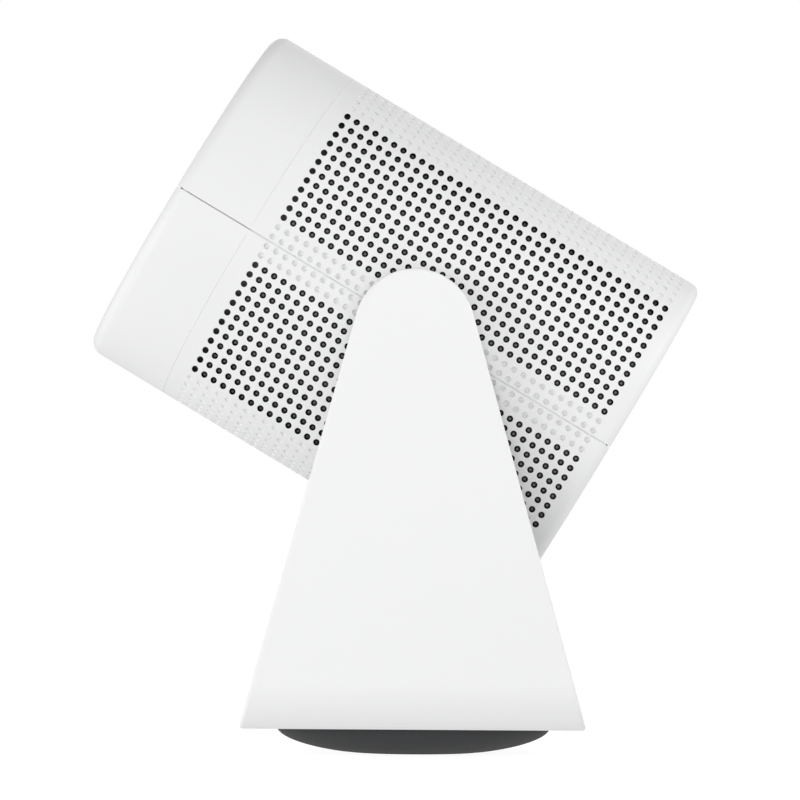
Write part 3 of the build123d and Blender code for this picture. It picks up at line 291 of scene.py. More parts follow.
def wovenMesh(look):
    # fine dark netting: two sets of threads, with the gaps between them darker still
    finish = Finish("screenMesh")
    place = finish.drumPlace()
    along, across = [
        finish.waves(place, {"bands_direction": way, "wave_profile": "SIN"}, look["span"])
        for way in ("Y", "Z")]
    weave = finish.node("ShaderNodeMath", {"operation": "MAXIMUM"}, {0: along, 1: across})
    lint = finish.noise(place, look["lint"], detail=3.0, roughness=0.6)
    # painted light: a pale pool on the netting straight behind each intake hole, where light comes
    # through; a row's middle is half a pitch up
    pitch = look["holePitch"]
    onHoles = finish.node("ShaderNodeMapping", {}, {
        "Vector": place, "Scale": (0, 1 / (pitch * mm), 1 / (pitch * mm)),
        "Location": (0, -look["firstHole"] / pitch, -0.5)})
    toHole = finish.node("ShaderNodeTexVoronoi", {"feature": "F1"},
                         {"Vector": onHoles, "Scale": 1.0, "Randomness": 0.0})
    dust = finish.clamp(1 - toHole * (pitch / look["dustRadius"]))
    netting = finish.blend(weigh(weave, lint, look["weaveShare"]), look["gap"], look["thread"])
    # painted light behind each hole, made uneven by the lint noise
    dusting = dust * (look["dustLeast"] + lint * look["dustChange"])
    colour = finish.blend(dusting, netting, look["dust"])
    return finish.close({
        "Base Color": colour, "Roughness": look["roughness"] + lint * look["sheenChange"],
        "Specular IOR Level": look["gloss"], "Normal": finish.bump(weave, look["depth"])})


def platedSteel(look):
    finish = Finish("platedSteel")
    place = finish.place()
    fine = finish.noise(place, look["grain"], detail=3.0, roughness=0.6)
    patch = finish.noise(place, look["patch"])
    colour = finish.blend(patch, look["dull"], look["bright"])
    rough = look["roughness"] + swing(fine, look["grainSheen"]) + swing(patch, look["patchSheen"])
    return finish.close({"Base Color": colour, "Metallic": 1.0, "Roughness": rough,
                         "Normal": finish.bump(fine, look["depth"])})


def laminatedSteel(look):
    # thin sheets stacked along the drum's axis
    finish = Finish("laminatedSteel")
    place = finish.drumPlace()
    sheets = finish.waves(place, {"bands_direction": "Y", "wave_profile": "SAW"},
                          look["span"], look["unevenness"])
    stain = finish.noise(place, look["stain"], detail=3.0)
    colour = finish.blend(weigh(stain, sheets, look["stainShare"]), look["dark"], look["light"])
    return finish.close({
        "Base Color": colour, "Metallic": look["metal"],
        "Roughness": look["roughness"] + stain * look["sheenChange"],
        "Normal": finish.bump(sheets, look["depth"])})


def copperTurns(look):
    # turns of enamelled wire, which lie square to each tooth
    finish = Finish("copperTurns")
    place = finish.drumPlace()
    turns = finish.waves(place, {"wave_type": "RINGS", "rings_direction": "Y"},
                         look["span"], look["unevenness"])
    patch = finish.noise(place, look["patch"])
    colour = finish.blend(weigh(turns, patch, look["turnShare"]), look["shadow"], look["copper"])
    return finish.close({
        "Base Color": colour, "Metallic": look["metal"],
        "Roughness": look["roughness"] + patch * look["sheenChange"],
        "Coat Weight": look["enamel"], "Normal": finish.bump(turns, look["depth"])})


def circuitBoard(look):
    # green mask over straight copper tracks
    finish = Finish("circuitBoard")
    place = finish.drumPlace()
    cells = finish.node(
        "ShaderNodeTexVoronoi", {"distance": "CHEBYCHEV", "feature": "DISTANCE_TO_EDGE"},
        {"Vector": place, "Scale": 1 / (look["track"] * mm)})
    tracks = finish.clamp(1 - cells * look["trackSharpness"])
    fine = finish.noise(place, look["grain"])
    colour = finish.blend(tracks, look["mask"], look["overCopper"])
    return finish.close({
        "Base Color": colour, "Roughness": look["roughness"] + fine * look["sheenChange"],
        "Specular IOR Level": look["gloss"], "Normal": finish.bump(tracks, look["depth"])})


def roughCast(look):
    finish = Finish(look["name"])
    place = finish.place()
    lumps = finish.noise(place, look["lumps"], detail=5.0, roughness=0.65)
    stain = finish.noise(place, look["stain"], detail=3.0)
    colour = finish.blend(weigh(stain, lumps, look["stainShare"]), look["dark"], look["light"])
    return finish.close({
        "Base Color": colour, "Metallic": look["metal"],
        "Roughness": look["roughness"] + lumps * look["sheenChange"],
        "Normal": finish.bump(lumps, look["depth"])})


# sizes and depths in mm; span is explained at waves
specialLooks = {
    "pad_rubber": {"make": rubber, "name": "padRubber", "colour": (0.018, 0.018, 0.018),
                   "dusty": (0.06, 0.058, 0.055), "pores": 0.5, "dustPatch": 12, "depth": 0.03,
                   "dustFrom": 0.45, "dustShare": 0.6, "poreShare": 0.25,
                   "roughness": 0.78, "sheenChange": 0.16, "gloss": 0.3},
    "lead_jacket": {"make": rubber, "name": "leadJacket", "colour": (0.02, 0.02, 0.021),
                    "dusty": (0.04, 0.04, 0.04), "pores": 0.4, "dustPatch": 8, "depth": 0.01,
                    "dustFrom": 0.45, "dustShare": 0.6, "poreShare": 0.25,
                    "roughness": 0.78, "sheenChange": 0.16, "gloss": 0.3},
    "screen_mesh": {"make": wovenMesh, "span": 0.625, "gap": (0.008, 0.008, 0.008),
                    "thread": (0.028, 0.028, 0.029), "depth": 0.05, "lint": 6.0, "weaveShare": 0.8,
                    # the pale colour behind each hole, its reach and its spread are painted light
                    "holePitch": 4.4, "firstHole": -67.85, "dustRadius": 0.74,
                    "dust": (0.46, 0.46, 0.45), "dustLeast": 0.7, "dustChange": 0.5,
                    "roughness": 0.7, "sheenChange": 0.2, "gloss": 0.25},
    "steel": {"make": platedSteel, "grain": 0.3, "patch": 4, "depth": 0.004,
              "dull": (0.42, 0.43, 0.45), "bright": (0.60, 0.61, 0.62),
              "roughness": 0.34, "grainSheen": 0.16, "patchSheen": 0.12},
    "core_steel": {"make": laminatedSteel, "span": 0.5, "unevenness": 0.4, "depth": 0.04,
                   "stain": 5.0, "stainShare": 0.6, "dark": (0.14, 0.14, 0.15),
                   "light": (0.34, 0.34, 0.35), "metal": 0.9, "roughness": 0.42, "sheenChange": 0.2},
    "copper_wire": {"make": copperTurns, "span": 0.5, "unevenness": 0.3, "depth": 0.12,
                    "patch": 4.0, "turnShare": 0.7, "shadow": (0.25, 0.07, 0.03),
                    "copper": (0.80, 0.34, 0.15), "metal": 0.85, "enamel": 0.4,
                    "roughness": 0.3, "sheenChange": 0.15},
    "board_laminate": {"make": circuitBoard, "track": 3.2, "trackSharpness": 9.0, "grain": 0.4,
                       "depth": 0.02, "mask": (0.010, 0.085, 0.030),
                       "overCopper": (0.035, 0.20, 0.07),
                       "roughness": 0.34, "sheenChange": 0.12, "gloss": 0.5},
    "magnet": {"make": roughCast, "name": "sinteredMagnet", "lumps": 0.4, "stain": 5, "depth": 0.01,
               "stainShare": 0.6, "dark": (0.03, 0.03, 0.032), "light": (0.075, 0.075, 0.08),
               "metal": 0.3, "roughness": 0.55, "sheenChange": 0.25},
    "cast_iron": {"make": roughCast, "name": "castIron", "lumps": 1.2, "stain": 9, "depth": 0.08,
                  "stainShare": 0.6, "dark": (0.06, 0.06, 0.062), "light": (0.16, 0.155, 0.15),
                  "metal": 0.8, "roughness": 0.55, "sheenChange": 0.25},
}


def makeMaterials():
    made = {slot: mouldedPlastic(slot, look) for slot, look in plasticLooks.items()}
    for slot, look in specialLooks.items():
        made[slot] = look["make"](look)
    return made


def coat(piece, slot):
    piece.data.materials.clear()
    piece.data.materials.append(materials[slot])


materials = makeMaterials()
slotOfNode = {part["node"]: part["material_slot"] for part in frame["record"]["subparts"]}
for name, part in nodes.items():
    coat(part, slotOfNode[name])
print("materials made:", len(materials))


shellLook = {
    # lengths in mm in the drum's own frame, with Y along its axis and the pivot at zero
    "radius": 74.96, "wall": 2.46, "front": -111.0, "rear": 91.0, "mouth": 66.0, "mouthEdge": 0.3,
    # each rim's outer radius, and the steps round it on the outer and the inner skin
    "frontEdge": 5.5, "frontSteps": (8, 4), "rearEdge": 4.0, "rearSteps": (7, 3),
    "seam": 0.5, "seamBevel": 0.12, "skinDepth": 0.2, "weld": 0.004, "smooth": 32,
    "pitch": 4.4, "columns": 35, "holeRows": 12, "dimpleRows": 2, "topRows": 14,
    "firstColumn": -67.85, "holeRadius": 1.32, "holeBevel": 0.07, "holeSides": 16,
    # a dimple's section: shares of its radius and of its depth
    "dimpleRadius": 1.3, "dimpleDepth": 1.35, "topDimpleDepth": 0.45, "dimpleSides": 12,
    "dimpleShape": ((1, 0), (0.90, 0.62), (0.58, 0.94), (0.12, 1)),
    # the faint line round the front section, which stops short of the seam and bows rearward from it
    "witnessAt": 33.85, "witnessWidth": 0.42, "witnessDepth": 0.28, "witnessStop": 3.9,
    "witnessBend": 2.3,
    # the pivot's hole, the cells that it takes the place of, and the plain land round it
    "journalHole": 8.1, "journalColumns": (13, 18), "journalRows": 3, "journalRings": 5,
    "landRadius": 18.3,
    # the lips lie behind the seam: runs along the drum, and a section outwards and upwards
    "lipRuns": ((-66.6, -46.0), (-34.0, -17.6), (17.6, 34.0), (46.0, 81.5)), "lipGap": 0.3,
    "lipShape": ((0.0, 2.0), (0.0, 0.0), (0.0, -2.0), (0.2, -4.0), (-1.6, -4.0), (-1.6, 0.0),
                 (-1.6, 2.0)),
    # the tongue fills the seam from just outside the inner skin up to these depths
    "tongueFront": 1.3, "tongueRear": 0.55, "tongueGap": 0.04, "tongueFoot": 0.5,
    "tongueBreak": 0.05, "tongueClear": 1.0,
}


def layCell(cell, depth):
    # one cell's square, with a point half way along each side and one in the middle
    bpy.ops.mesh.primitive_plane_add(size=1, location=(0, 0, -depth))
    bpy.ops.transform.resize(value=(cell[0], cell[1], 1), center_override=(0, 0, -depth))
    bpy.ops.mesh.subdivide(number_cuts=1)


def openCell(sides, radius):
    # the square's middle gives way to a round mouth
    pickVertices(lambda co: math.hypot(co.x, co.y) < hair)
    bpy.ops.mesh.delete(type="VERT")
    bpy.ops.mesh.primitive_circle_add(vertices=sides, radius=radius, location=(0, 0, 0))
    pickEdges(lambda edge: True)
    bpy.ops.mesh.bridge_edge_loops()
    bpy.ops.mesh.select_mode(type="VERT")


def makeTile(cell, wall, sides=0, rings=(), through=False):
    # a flat cell, plain or with a round hole or dimple, whose rings are radii and depths going down
    clearSelection()
    bpy.ops.mesh.primitive_plane_add(size=1, location=(0, 0, 0))
    tile = bpy.context.object
    startEditing(tile)
    bpy.ops.mesh.select_all(action="SELECT")
    bpy.ops.mesh.delete(type="VERT")
    layCell(cell, 0.0)
    if rings:
        radius, depth = rings[0]
        openCell(sides, radius)
        if through:
            bpy.ops.mesh.select_all(action="SELECT")
            bpy.ops.mesh.duplicate_move(TRANSFORM_OT_translate={"value": (0, 0, -wall)})
        pickVertices(lambda co: math.hypot(co.x, co.y) < radius + hair and co.z > -hair)
        for nextRadius, nextDepth in rings[1:]:
            bpy.ops.mesh.extrude_region_move(
                TRANSFORM_OT_translate={"value": (0, 0, depth - nextDepth)})
            bpy.ops.transform.resize(value=(nextRadius / radius, nextRadius / radius, 1),
                                     center_override=(0, 0, -nextDepth))
            radius, depth = nextRadius, nextDepth
        if not through:
            bpy.ops.mesh.merge(type="CENTER")
    if not through:
        layCell(cell, wall)
    bpy.ops.mesh.select_all(action="SELECT")
    bpy.ops.mesh.remove_doubles(threshold=hair)
    stopEditing()
    points = np.array([v.co[:] for v in tile.data.vertices])
    faces = [tuple(face.vertices) for face in tile.data.polygons]
    bpy.data.objects.remove(tile)
    return points, faces


def stationLevels(look):
    # heights above the seam where the cells of the side field end, half cell by half cell
    rows = look["dimpleRows"] + look["holeRows"]
    half = look["pitch"] / 2
    return [look["seam"] / 2] + [half * step for step in range(1, 2 * rows + 1)]


def sideWrap(look, along, level, depth):
    # holes in the side field run straight in along X
    outer, inner = look["radius"], look["radius"] - look["wall"]
    level = np.maximum(level, look["seam"] / 2)
    share = depth / look["wall"]
    x = (1 - share) * np.sqrt(outer ** 2 - level ** 2) + share * np.sqrt(inner ** 2 - level ** 2)
    return np.stack([x, along, level], axis=-1)


def topAngles(look):
    top = (look["dimpleRows"] + look["holeRows"]) * look["pitch"]
    return (math.asin(top / look["radius"]), math.asin(top / (look["radius"] - look["wall"])))


def topWrap(look, along, share, depth):
    # over the top, cells turn evenly from one side field to the other
    outer, inner = topAngles(look)
    fade = depth / look["wall"]
    start = (1 - fade) * outer + fade * inner
    angle = start + share * (math.pi - 2 * start)
    radius = look["radius"] - depth
    return np.stack([radius * np.cos(angle), along, radius * np.sin(angle)], axis=-1)


class Skin:
    # gathers points and faces, in mm, until the whole shell is there
    def __init__(self):
        self.points = []
        self.faces = []
        self.count = 0

    def add(self, points, faces):
        self.points.append(points)
        self.faces += [tuple(index + self.count for index in face) for face in faces]
        self.count += len(points)

    def addGrid(self, grid):
        rows, columns = grid.shape[:2]
        corners = [r * columns + c for r in range(rows - 1) for c in range(columns - 1)]
        quads = [(n, n + 1, n + columns + 1, n + columns) for n in corners]
        self.add(grid.reshape(-1, 3), quads)

    def mirrored(self):
        self.add(np.concatenate(self.points) * np.array([-1, 1, 1]), list(self.faces))


def addSideField(skin, look, holeTile, dimpleTile, plainTile):
    pitch = look["pitch"]
    firstHidden, lastHidden = look["journalColumns"]
    for row in range(look["dimpleRows"] + look["holeRows"]):
        level = (row + 0.5) * pitch
        for column in range(look["columns"]):
            if row < look["journalRows"] and firstHidden <= column <= lastHidden:
                continue
            along = look["firstColumn"] + column * pitch
            tile = dimpleTile if row < look["dimpleRows"] else holeTile
            if math.hypot(along, level) < look["landRadius"]:
                tile = plainTile
            points, faces = tile
            flat = points / mm
            skin.add(sideWrap(look, flat[:, 0] + along, flat[:, 1] + level, -flat[:, 2]), faces)


def addJournalPatch(skin, look):
    # the plain wall round the pivot's half hole
    pitch = look["pitch"]
    first, last = look["journalColumns"]
    left = look["firstColumn"] + (first - 0.5) * pitch
    right = look["firstColumn"] + (last + 0.5) * pitch
    levels = stationLevels(look)[:2 * look["journalRows"] + 1]
    across = [right - pitch / 2 * step for step in range(1, 2 * (last - first + 1))]
    rim = ([(right, level) for level in levels] + [(a, levels[-1]) for a in across]
           + [(left, level) for level in reversed(levels)])
    radius = look["journalHole"]
    low = math.asin(levels[0] / radius)
    turns = [low + (math.pi - 2 * low) * index / (len(rim) - 1) for index in range(len(rim))]
    hole = [(radius * math.cos(turn), radius * math.sin(turn)) for turn in turns]
    shares = np.linspace(0, 1, look["journalRings"] + 1)[:, None, None]
    flat = np.array(hole)[None] * (1 - shares) + np.array(rim)[None] * shares
    for depth in (0.0, look["wall"]):
        skin.addGrid(sideWrap(look, flat[..., 0], flat[..., 1], np.full(flat.shape[:2], depth)))
    edge = np.array([hole, hole])
    depths = np.array([[0.0] * len(hole), [look["wall"]] * len(hole)])
    skin.addGrid(sideWrap(look, edge[..., 0], edge[..., 1], depths))


def addTopField(skin, look, topTile):
    points, faces = topTile
    flat = points / mm
    height = 1 / look["topRows"]
    for row in range(look["topRows"]):
        share = (row + 0.5 + flat[:, 1] / topCell(look)[1]) * height
        for column in range(look["columns"]):
            along = look["firstColumn"] + column * look["pitch"]
            skin.add(topWrap(look, flat[:, 0] + along, share, -flat[:, 2]), faces)


def topCell(look):
    angle = math.pi - 2 * topAngles(look)[0]
    return look["pitch"], look["radius"] * angle / look["topRows"]


def bandAngles(look):
    # the same stations round the drum as the cells have, on the outer and the inner skin
    levels = stationLevels(look)
    steps = 2 * look["topRows"]
    stations = []
    for radius, start in zip((look["radius"], look["radius"] - look["wall"]), topAngles(look)):
        side = [math.asin(level / radius) for level in levels]
        top = [start + (math.pi - 2 * start) * step / steps for step in range(1, steps)]
        stations.append(side + top + [math.pi - angle for angle in reversed(side)])
    return stations


def addBand(skin, look, profile, groove=None):
    # profile: radius, place along the drum, and 0 for the outer or 1 for the inner skin's stations
    stations = bandAngles(look)
    count = len(stations[0])
    low = look["seam"] / 2
    grid = np.zeros((count, len(profile), 3))
    for index in range(count):
        for place, (radius, along, side) in enumerate(profile):
            angle = stations[side][index]
            depth = 0.0
            if groove is not None and abs(place - groove) <= 1:
                along += look["witnessBend"] * (1 - abs(math.cos(angle)))
            if place == groove:
                arc = look["radius"] * min(angle, math.pi - angle)
                depth = look["witnessDepth"] if arc > look["witnessStop"] else 0.0
            r = radius - depth
            if index in (0, count - 1):
                x = math.sqrt(r ** 2 - low ** 2)
                grid[index, place] = (x if index == 0 else -x, along, low)
            else:
                grid[index, place] = (r * math.cos(angle), along, r * math.sin(angle))
    skin.addGrid(grid)


def arcPoints(centre, radius, start, end, steps, side):
    turns = np.radians(np.linspace(start, end, steps + 1))
    return [(centre[0] + radius * math.cos(t), centre[1] + radius * math.sin(t), side) for t in turns]


def addEnds(skin, look):
    # the plain bands and rims before the first column of cells and behind the last
    outside, wall, mouth, edge = look["radius"], look["wall"], look["mouth"], look["mouthEdge"]
    fieldFront = look["firstColumn"] - look["pitch"] / 2
    fieldRear = fieldFront + look["columns"] * look["pitch"]

    front, turn = look["front"], look["frontEdge"]
    centre = (outside - turn, front + turn)
    witness, half = front + look["witnessAt"], look["witnessWidth"] / 2
    profile = [(outside, along, 0) for along in (
        fieldFront, witness + half, witness, witness - half, (witness + front) / 2)]
    profile += arcPoints(centre, turn, 0, -90, look["frontSteps"][0], 0)
    profile += [((mouth + outside - turn) / 2, front, 0), (mouth + edge, front, 0),
                (mouth, front + edge, 0), (mouth, front + wall, 1), (centre[0], front + wall, 1)]
    profile += arcPoints(centre, turn - wall, -90, 0, look["frontSteps"][1], 1)[1:]
    profile += [(outside - wall, fieldFront, 1)]
    addBand(skin, look, profile, groove=2)

    rear, turn = look["rear"], look["rearEdge"]
    centre = (outside - turn, rear - turn)
    profile = [(outside, fieldRear, 0)] + arcPoints(centre, turn, 0, 90, look["rearSteps"][0], 0)
    profile += [(mouth + edge, rear, 0), (mouth, rear - edge, 0), (mouth, rear - wall, 1),
                (centre[0], rear - wall, 1)]
    profile += arcPoints(centre, turn - wall, 90, 0, look["rearSteps"][1], 1)[1:]
    profile += [(outside - wall, fieldRear, 1)]
    addBand(skin, look, profile)


def makeHalfShell(look):
    cell = (look["pitch"] * mm, look["pitch"] * mm)
    wall = look["wall"] * mm
    radius, bevel = look["holeRadius"] * mm, look["holeBevel"] * mm
    holeRings = [(radius + bevel, 0), (radius, bevel), (radius + bevel, wall)]
    sideBowl, topBowl = [[(look["dimpleRadius"] * mm * reach, depth * mm * sink)
                          for reach, sink in look["dimpleShape"]]
                         for depth in (look["dimpleDepth"], look["topDimpleDepth"])]
    holeTile = makeTile(cell, wall, look["holeSides"], holeRings, through=True)
    dimpleTile = makeTile(cell, wall, look["dimpleSides"], sideBowl)
    plainTile = makeTile(cell, wall)
    wide = topCell(look)
    topTile = makeTile((wide[0] * mm, wide[1] * mm), wall, look["dimpleSides"], topBowl)
    skin = Skin()
    addSideField(skin, look, holeTile, dimpleTile, plainTile)
    addJournalPatch(skin, look)
    skin.mirrored()
    addTopField(skin, look, topTile)
    addEnds(skin, look)
    shell = newPiece("drumShellUpper", np.concatenate(skin.points) * mm, skin.faces)
    startEditing(shell)
    bpy.ops.mesh.select_all(action="SELECT")
    bpy.ops.mesh.remove_doubles(threshold=look["weld"] * mm)
    bpy.ops.mesh.select_all(action="DESELECT")
    bpy.ops.mesh.select_mode(type="EDGE")
    bpy.ops.mesh.select_non_manifold(extend=False, use_wire=False, use_multi_face=False,
                                     use_non_contiguous=False, use_verts=False)
    bpy.ops.mesh.fill(use_beauty=False)
    bpy.ops.mesh.select_all(action="SELECT")
    bpy.ops.mesh.normals_make_consistent(inside=False)
    low = look["seam"] / 2 * mm + hair
    skinFrom = (look["radius"] - look["skinDepth"]) * mm

    def liesFlat(face):
        return abs(face.normal.z) > 0.9

    def onShutLine(edge):
        # where the outer skin turns into the seam's wall
        a, b = (v.co for v in edge.verts)
        if a.z > low or b.z > low or len(edge.link_faces) != 2:
            return False
        if min(math.hypot(a.x, a.z), math.hypot(b.x, b.z)) <= skinFrom:
            return False
        return liesFlat(edge.link_faces[0]) != liesFlat(edge.link_faces[1])

    pickEdges(onShutLine)
    bpy.ops.mesh.bevel(offset=look["seamBevel"] * mm, segments=1, affect="EDGES")
    stopEditing()
    return shell


def addStrip(strips, side, start, end, section):
    # a bar along the drum; its section is given as radius and height above the seam
    ring = [(side * math.sqrt(r ** 2 - z ** 2), z) for r, z in section]
    points = [(x, y, z) for y in (start, end) for x, z in ring]
    count = len(ring)
    faces = [(i, (i + 1) % count, count + (i + 1) % count, count + i) for i in range(count)]
    faces += [tuple(range(count)), tuple(range(2 * count - 1, count - 1, -1))]
    strips.add(np.array(points), faces)


def addSeamLips(shell, look):
    # the lower shell's lips behind the shut line, and the tongue that closes the gap
    inner = look["radius"] - look["wall"]
    lip = [(inner - look["lipGap"] + out, height) for out, height in look["lipShape"]]
    low, high = -look["seam"] / 2, look["seam"] / 2 - look["tongueGap"]
    foot = inner + look["tongueFoot"]
    witness = look["front"] + look["witnessAt"]
    hub = look["journalHole"] + look["tongueClear"]
    tongues = ((look["front"] + look["frontEdge"] / 2, witness, look["tongueFront"]),
               (witness + look["tongueBreak"], -hub, look["tongueRear"]),
               (hub, look["rear"] - look["rearEdge"] / 2, look["tongueRear"]))
    strips = Skin()
    for side in (1, -1):
        for start, end in look["lipRuns"]:
            addStrip(strips, side, start, end, lip)
        for start, end, depth in tongues:
            top = look["radius"] - depth
            addStrip(strips, side, start, end, [(top, high), (top, low), (foot, low), (foot, high)])
    made = newPiece("seamLips", np.concatenate(strips.points) * mm, strips.faces)
    tidyMesh(made)
    joinAll([shell, made])


def dressShells(look):
    upper = makeHalfShell(look)
    lower = upper.copy()
    lower.data = upper.data.copy()
    lower.name = "drumShellLower"
    bpy.context.scene.collection.objects.link(lower)
    lower.data.transform(Matrix.Rotation(math.pi, 4, "Y"))
    addSeamLips(lower, look)
    for shell, node in ((upper, "shell_upper"), (lower, "shell_lower")):
        smoothSurface(shell, look["smooth"])
        settle(shell, drumToWorld)
        coat(shell, "shell_plastic")
        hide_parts(node)
        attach(shell, "drum")
        print(shell.name, "has", len(shell.data.polygons), "faces")


dressShells(shellLook)


# mm in the drum's frame: circle, letter size and relief; step in degrees from number to number
dialLook = {
    "radius": 20.6, "size": 4.4, "raise": 0.12, "step": 40.0, "floor": 80.0, "labels": "0123",
    "labelEdge": 0.03, "curveSteps": 6, "smooth": 30,
    "tickFrom": 15.2, "tickTo": 17.0, "tickWidth": 0.7, "tickEdge": 0.04,
}


def makeLabel(look, label, angle):
    clearSelection()
    bpy.ops.object.text_add(location=(0, 0, 0))
    text = bpy.context.object
    text.data.body = label
    text.data.align_x = "CENTER"
    text.data.align_y = "CENTER"
    text.data.size = look["size"] * mm
    text.data.extrude = look["raise"] * mm / 2
    text.data.bevel_depth = look["labelEdge"] * mm
    text.data.offset = -look["labelEdge"] * mm
    text.data.resolution_u = look["curveSteps"]
    bpy.ops.object.convert(target="MESH")
    facing = Matrix.Rotation(math.pi, 4, "Z") @ Matrix.Rotation(math.pi / 2, 4, "X")
    spot = Vector((-math.sin(angle) * look["radius"], look["floor"],
                   math.cos(angle) * look["radius"])) * mm
    text.data.transform(Matrix.Translation(spot) @ facing)
    return text


def makeTick(look, angle):
    clearSelection()
    bpy.ops.mesh.primitive_cube_add(size=1, location=(0, 0, 0))
    tick = bpy.context.object
    startEditing(tick)
    bpy.ops.mesh.select_all(action="SELECT")
    length = (look["tickTo"] - look["tickFrom"]) * mm
    bpy.ops.transform.resize(value=(look["tickWidth"] * mm, look["raise"] * mm, length))
    bpy.ops.mesh.bevel(offset=look["tickEdge"] * mm, segments=2, affect="EDGES")
    stopEditing()
    middle = (look["tickTo"] + look["tickFrom"]) / 2 * mm
    tick.data.transform(Matrix.Rotation(-angle, 4, "Y")
                        @ Matrix.Translation((0, look["floor"] * mm, middle)))
    return tick


def makeDialMarks(look):
    # seen from the rear, the numbers run clockwise from the top
    marks = []
    for index, label in enumerate(look["labels"]):
        angle = math.radians(look["step"] * index)
        marks += [makeLabel(look, label, angle), makeTick(look, angle)]
    dial = joinAll(marks)
    dial.name = "dialMarks"
    tidyMesh(dial)
    settle(dial, drumToWorld)
    smoothSurface(dial, look["smooth"])
    coat(dial, "knob_plastic")
    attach(dial, "drum")


makeDialMarks(dialLook)
print("dial marks made")


# mm and degrees; rear screws lie in the drum's frame, arm places are Y and Z, floor places X and Y
screwLook = {
    "headRadius": 2.3, "headHeight": 1.3, "rim": 0.5, "rimSteps": 4, "sides": 28, "smooth": 35,
    "shankRadius": 1.2, "length": 8.0, "turnEach": 37.0,
    "slotLength": 2.7, "slotWidth": 0.64, "slotDepth": 0.85, "slotTaper": 0.55,
    "rearCircle": 60.5, "rearAngles": (65, 115, 245, 295), "rearSeat": 88.4,
    "armSeat": 79.8,
    "armPlaces": ((0.0, 138.0), (30.485, 91.0), (-30.485, 91.0), (43.585, 44.0), (-43.585, 44.0)),
    "floorSeat": 13.3,
    "floorPlaces": ((52.0, 46.0), (-52.0, 46.0), (-52.0, -46.0), (52.0, -46.0)),
}


def makeSlotCutter(look, turn):
    bpy.ops.mesh.primitive_cube_add(size=1, location=(0, 0, look["headHeight"] * mm))
    cutter = bpy.context.object
    startEditing(cutter)
    bpy.ops.mesh.select_all(action="SELECT")
    bpy.ops.transform.resize(value=(look["slotLength"] * mm, look["slotWidth"] * mm,
                                    2 * look["slotDepth"] * mm))
    pickVertices(lambda co: co.z < 0)
    bpy.ops.transform.resize(value=(look["slotTaper"], 1, 1))
    stopEditing()
    cutter.data.transform(Matrix.Rotation(turn, 4, "Z"))
    return cutter


def makeScrew(look):
    # pan head with a cross recess; its seat is at zero and its top looks up
    clearSelection()
    height = look["headHeight"] * mm
    bpy.ops.mesh.primitive_cylinder_add(vertices=look["sides"], radius=look["headRadius"] * mm,
                                        depth=height, location=(0, 0, height / 2))
    screw = bpy.context.object
    startEditing(screw)
    pickEdges(lambda edge: min(v.co.z for v in edge.verts) > 0)
    bpy.ops.mesh.bevel(offset=look["rim"] * mm, segments=look["rimSteps"], affect="EDGES")
    bpy.ops.mesh.select_mode(type="VERT")
    pickVertices(lambda co: co.z < -height / 2 + hair)
    bpy.ops.mesh.extrude_region_move()
    thin = look["shankRadius"] / look["headRadius"]
    bpy.ops.transform.resize(value=(thin, thin, 1), center_override=(0, 0, 0))
    bpy.ops.mesh.extrude_region_move(
        TRANSFORM_OT_translate={"value": (0, 0, height - look["length"] * mm)})
    stopEditing()
    settle(screw, Matrix.Identity(4))
    for turn in (0, math.pi / 2):
        clearSelection()
        cutter = makeSlotCutter(look, turn)
        settle(cutter, Matrix.Identity(4))
        workOn(screw)
        slot = screw.modifiers.new("slot", "BOOLEAN")
        slot.operation = "DIFFERENCE"
        slot.object = cutter
        bpy.ops.object.modifier_apply(modifier=slot.name)
        bpy.data.objects.remove(cutter)
    return screw


def placeScrews(name, node, body, pattern, places, look):
    copies = []
    for index, place in enumerate(places):
        copy = pattern.copy()
        copy.data = pattern.data.copy()
        bpy.context.scene.collection.objects.link(copy)
        turned = Matrix.Rotation(math.radians(look["turnEach"] * (index + 1)), 4, "Z")
        copy.data.transform(place @ turned)
        copies.append(copy)
    screws = joinAll(copies)
    screws.name = name
    tidyMesh(screws)
    smoothSurface(screws, look["smooth"])
    coat(screws, "steel")
    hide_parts(node)
    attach(screws, body)


def makeScrews(look):
    pattern = makeScrew(look)
    rearward = Matrix.Rotation(-math.pi / 2, 4, "X")
    rear = []
    for angle in map(math.radians, look["rearAngles"]):
        seat = Vector((look["rearCircle"] * math.cos(angle), look["rearSeat"],
                       look["rearCircle"] * math.sin(angle))) * mm
        rear.append(drumToWorld @ Matrix.Translation(seat) @ rearward)
    placeScrews("rearScrews", "rear_screws", "drum", pattern, rear, look)
    stand = [Matrix.Translation(Vector((side * look["armSeat"], along, height)) * mm)
             @ Matrix.Rotation(-side * math.pi / 2, 4, "Y")
             for along, height in look["armPlaces"] for side in (1, -1)]
    downward = Matrix.Rotation(math.pi, 4, "X")
    stand += [Matrix.Translation(Vector((x, y, look["floorSeat"])) * mm) @ downward
              for x, y in look["floorPlaces"]]
    placeScrews("standScrews", "stand_screws", "stand", pattern, stand, look)
    bpy.data.objects.remove(pattern)


makeScrews(screwLook)
print("screws made")


studioLook = {"floorBounce": 0.78, "floorSeen": 0.95, "floorTone": 0.2, "floorSize": 12,
              "floorDrop": 0.0002, "ambient": 0.44, "lampAim": 0.16}
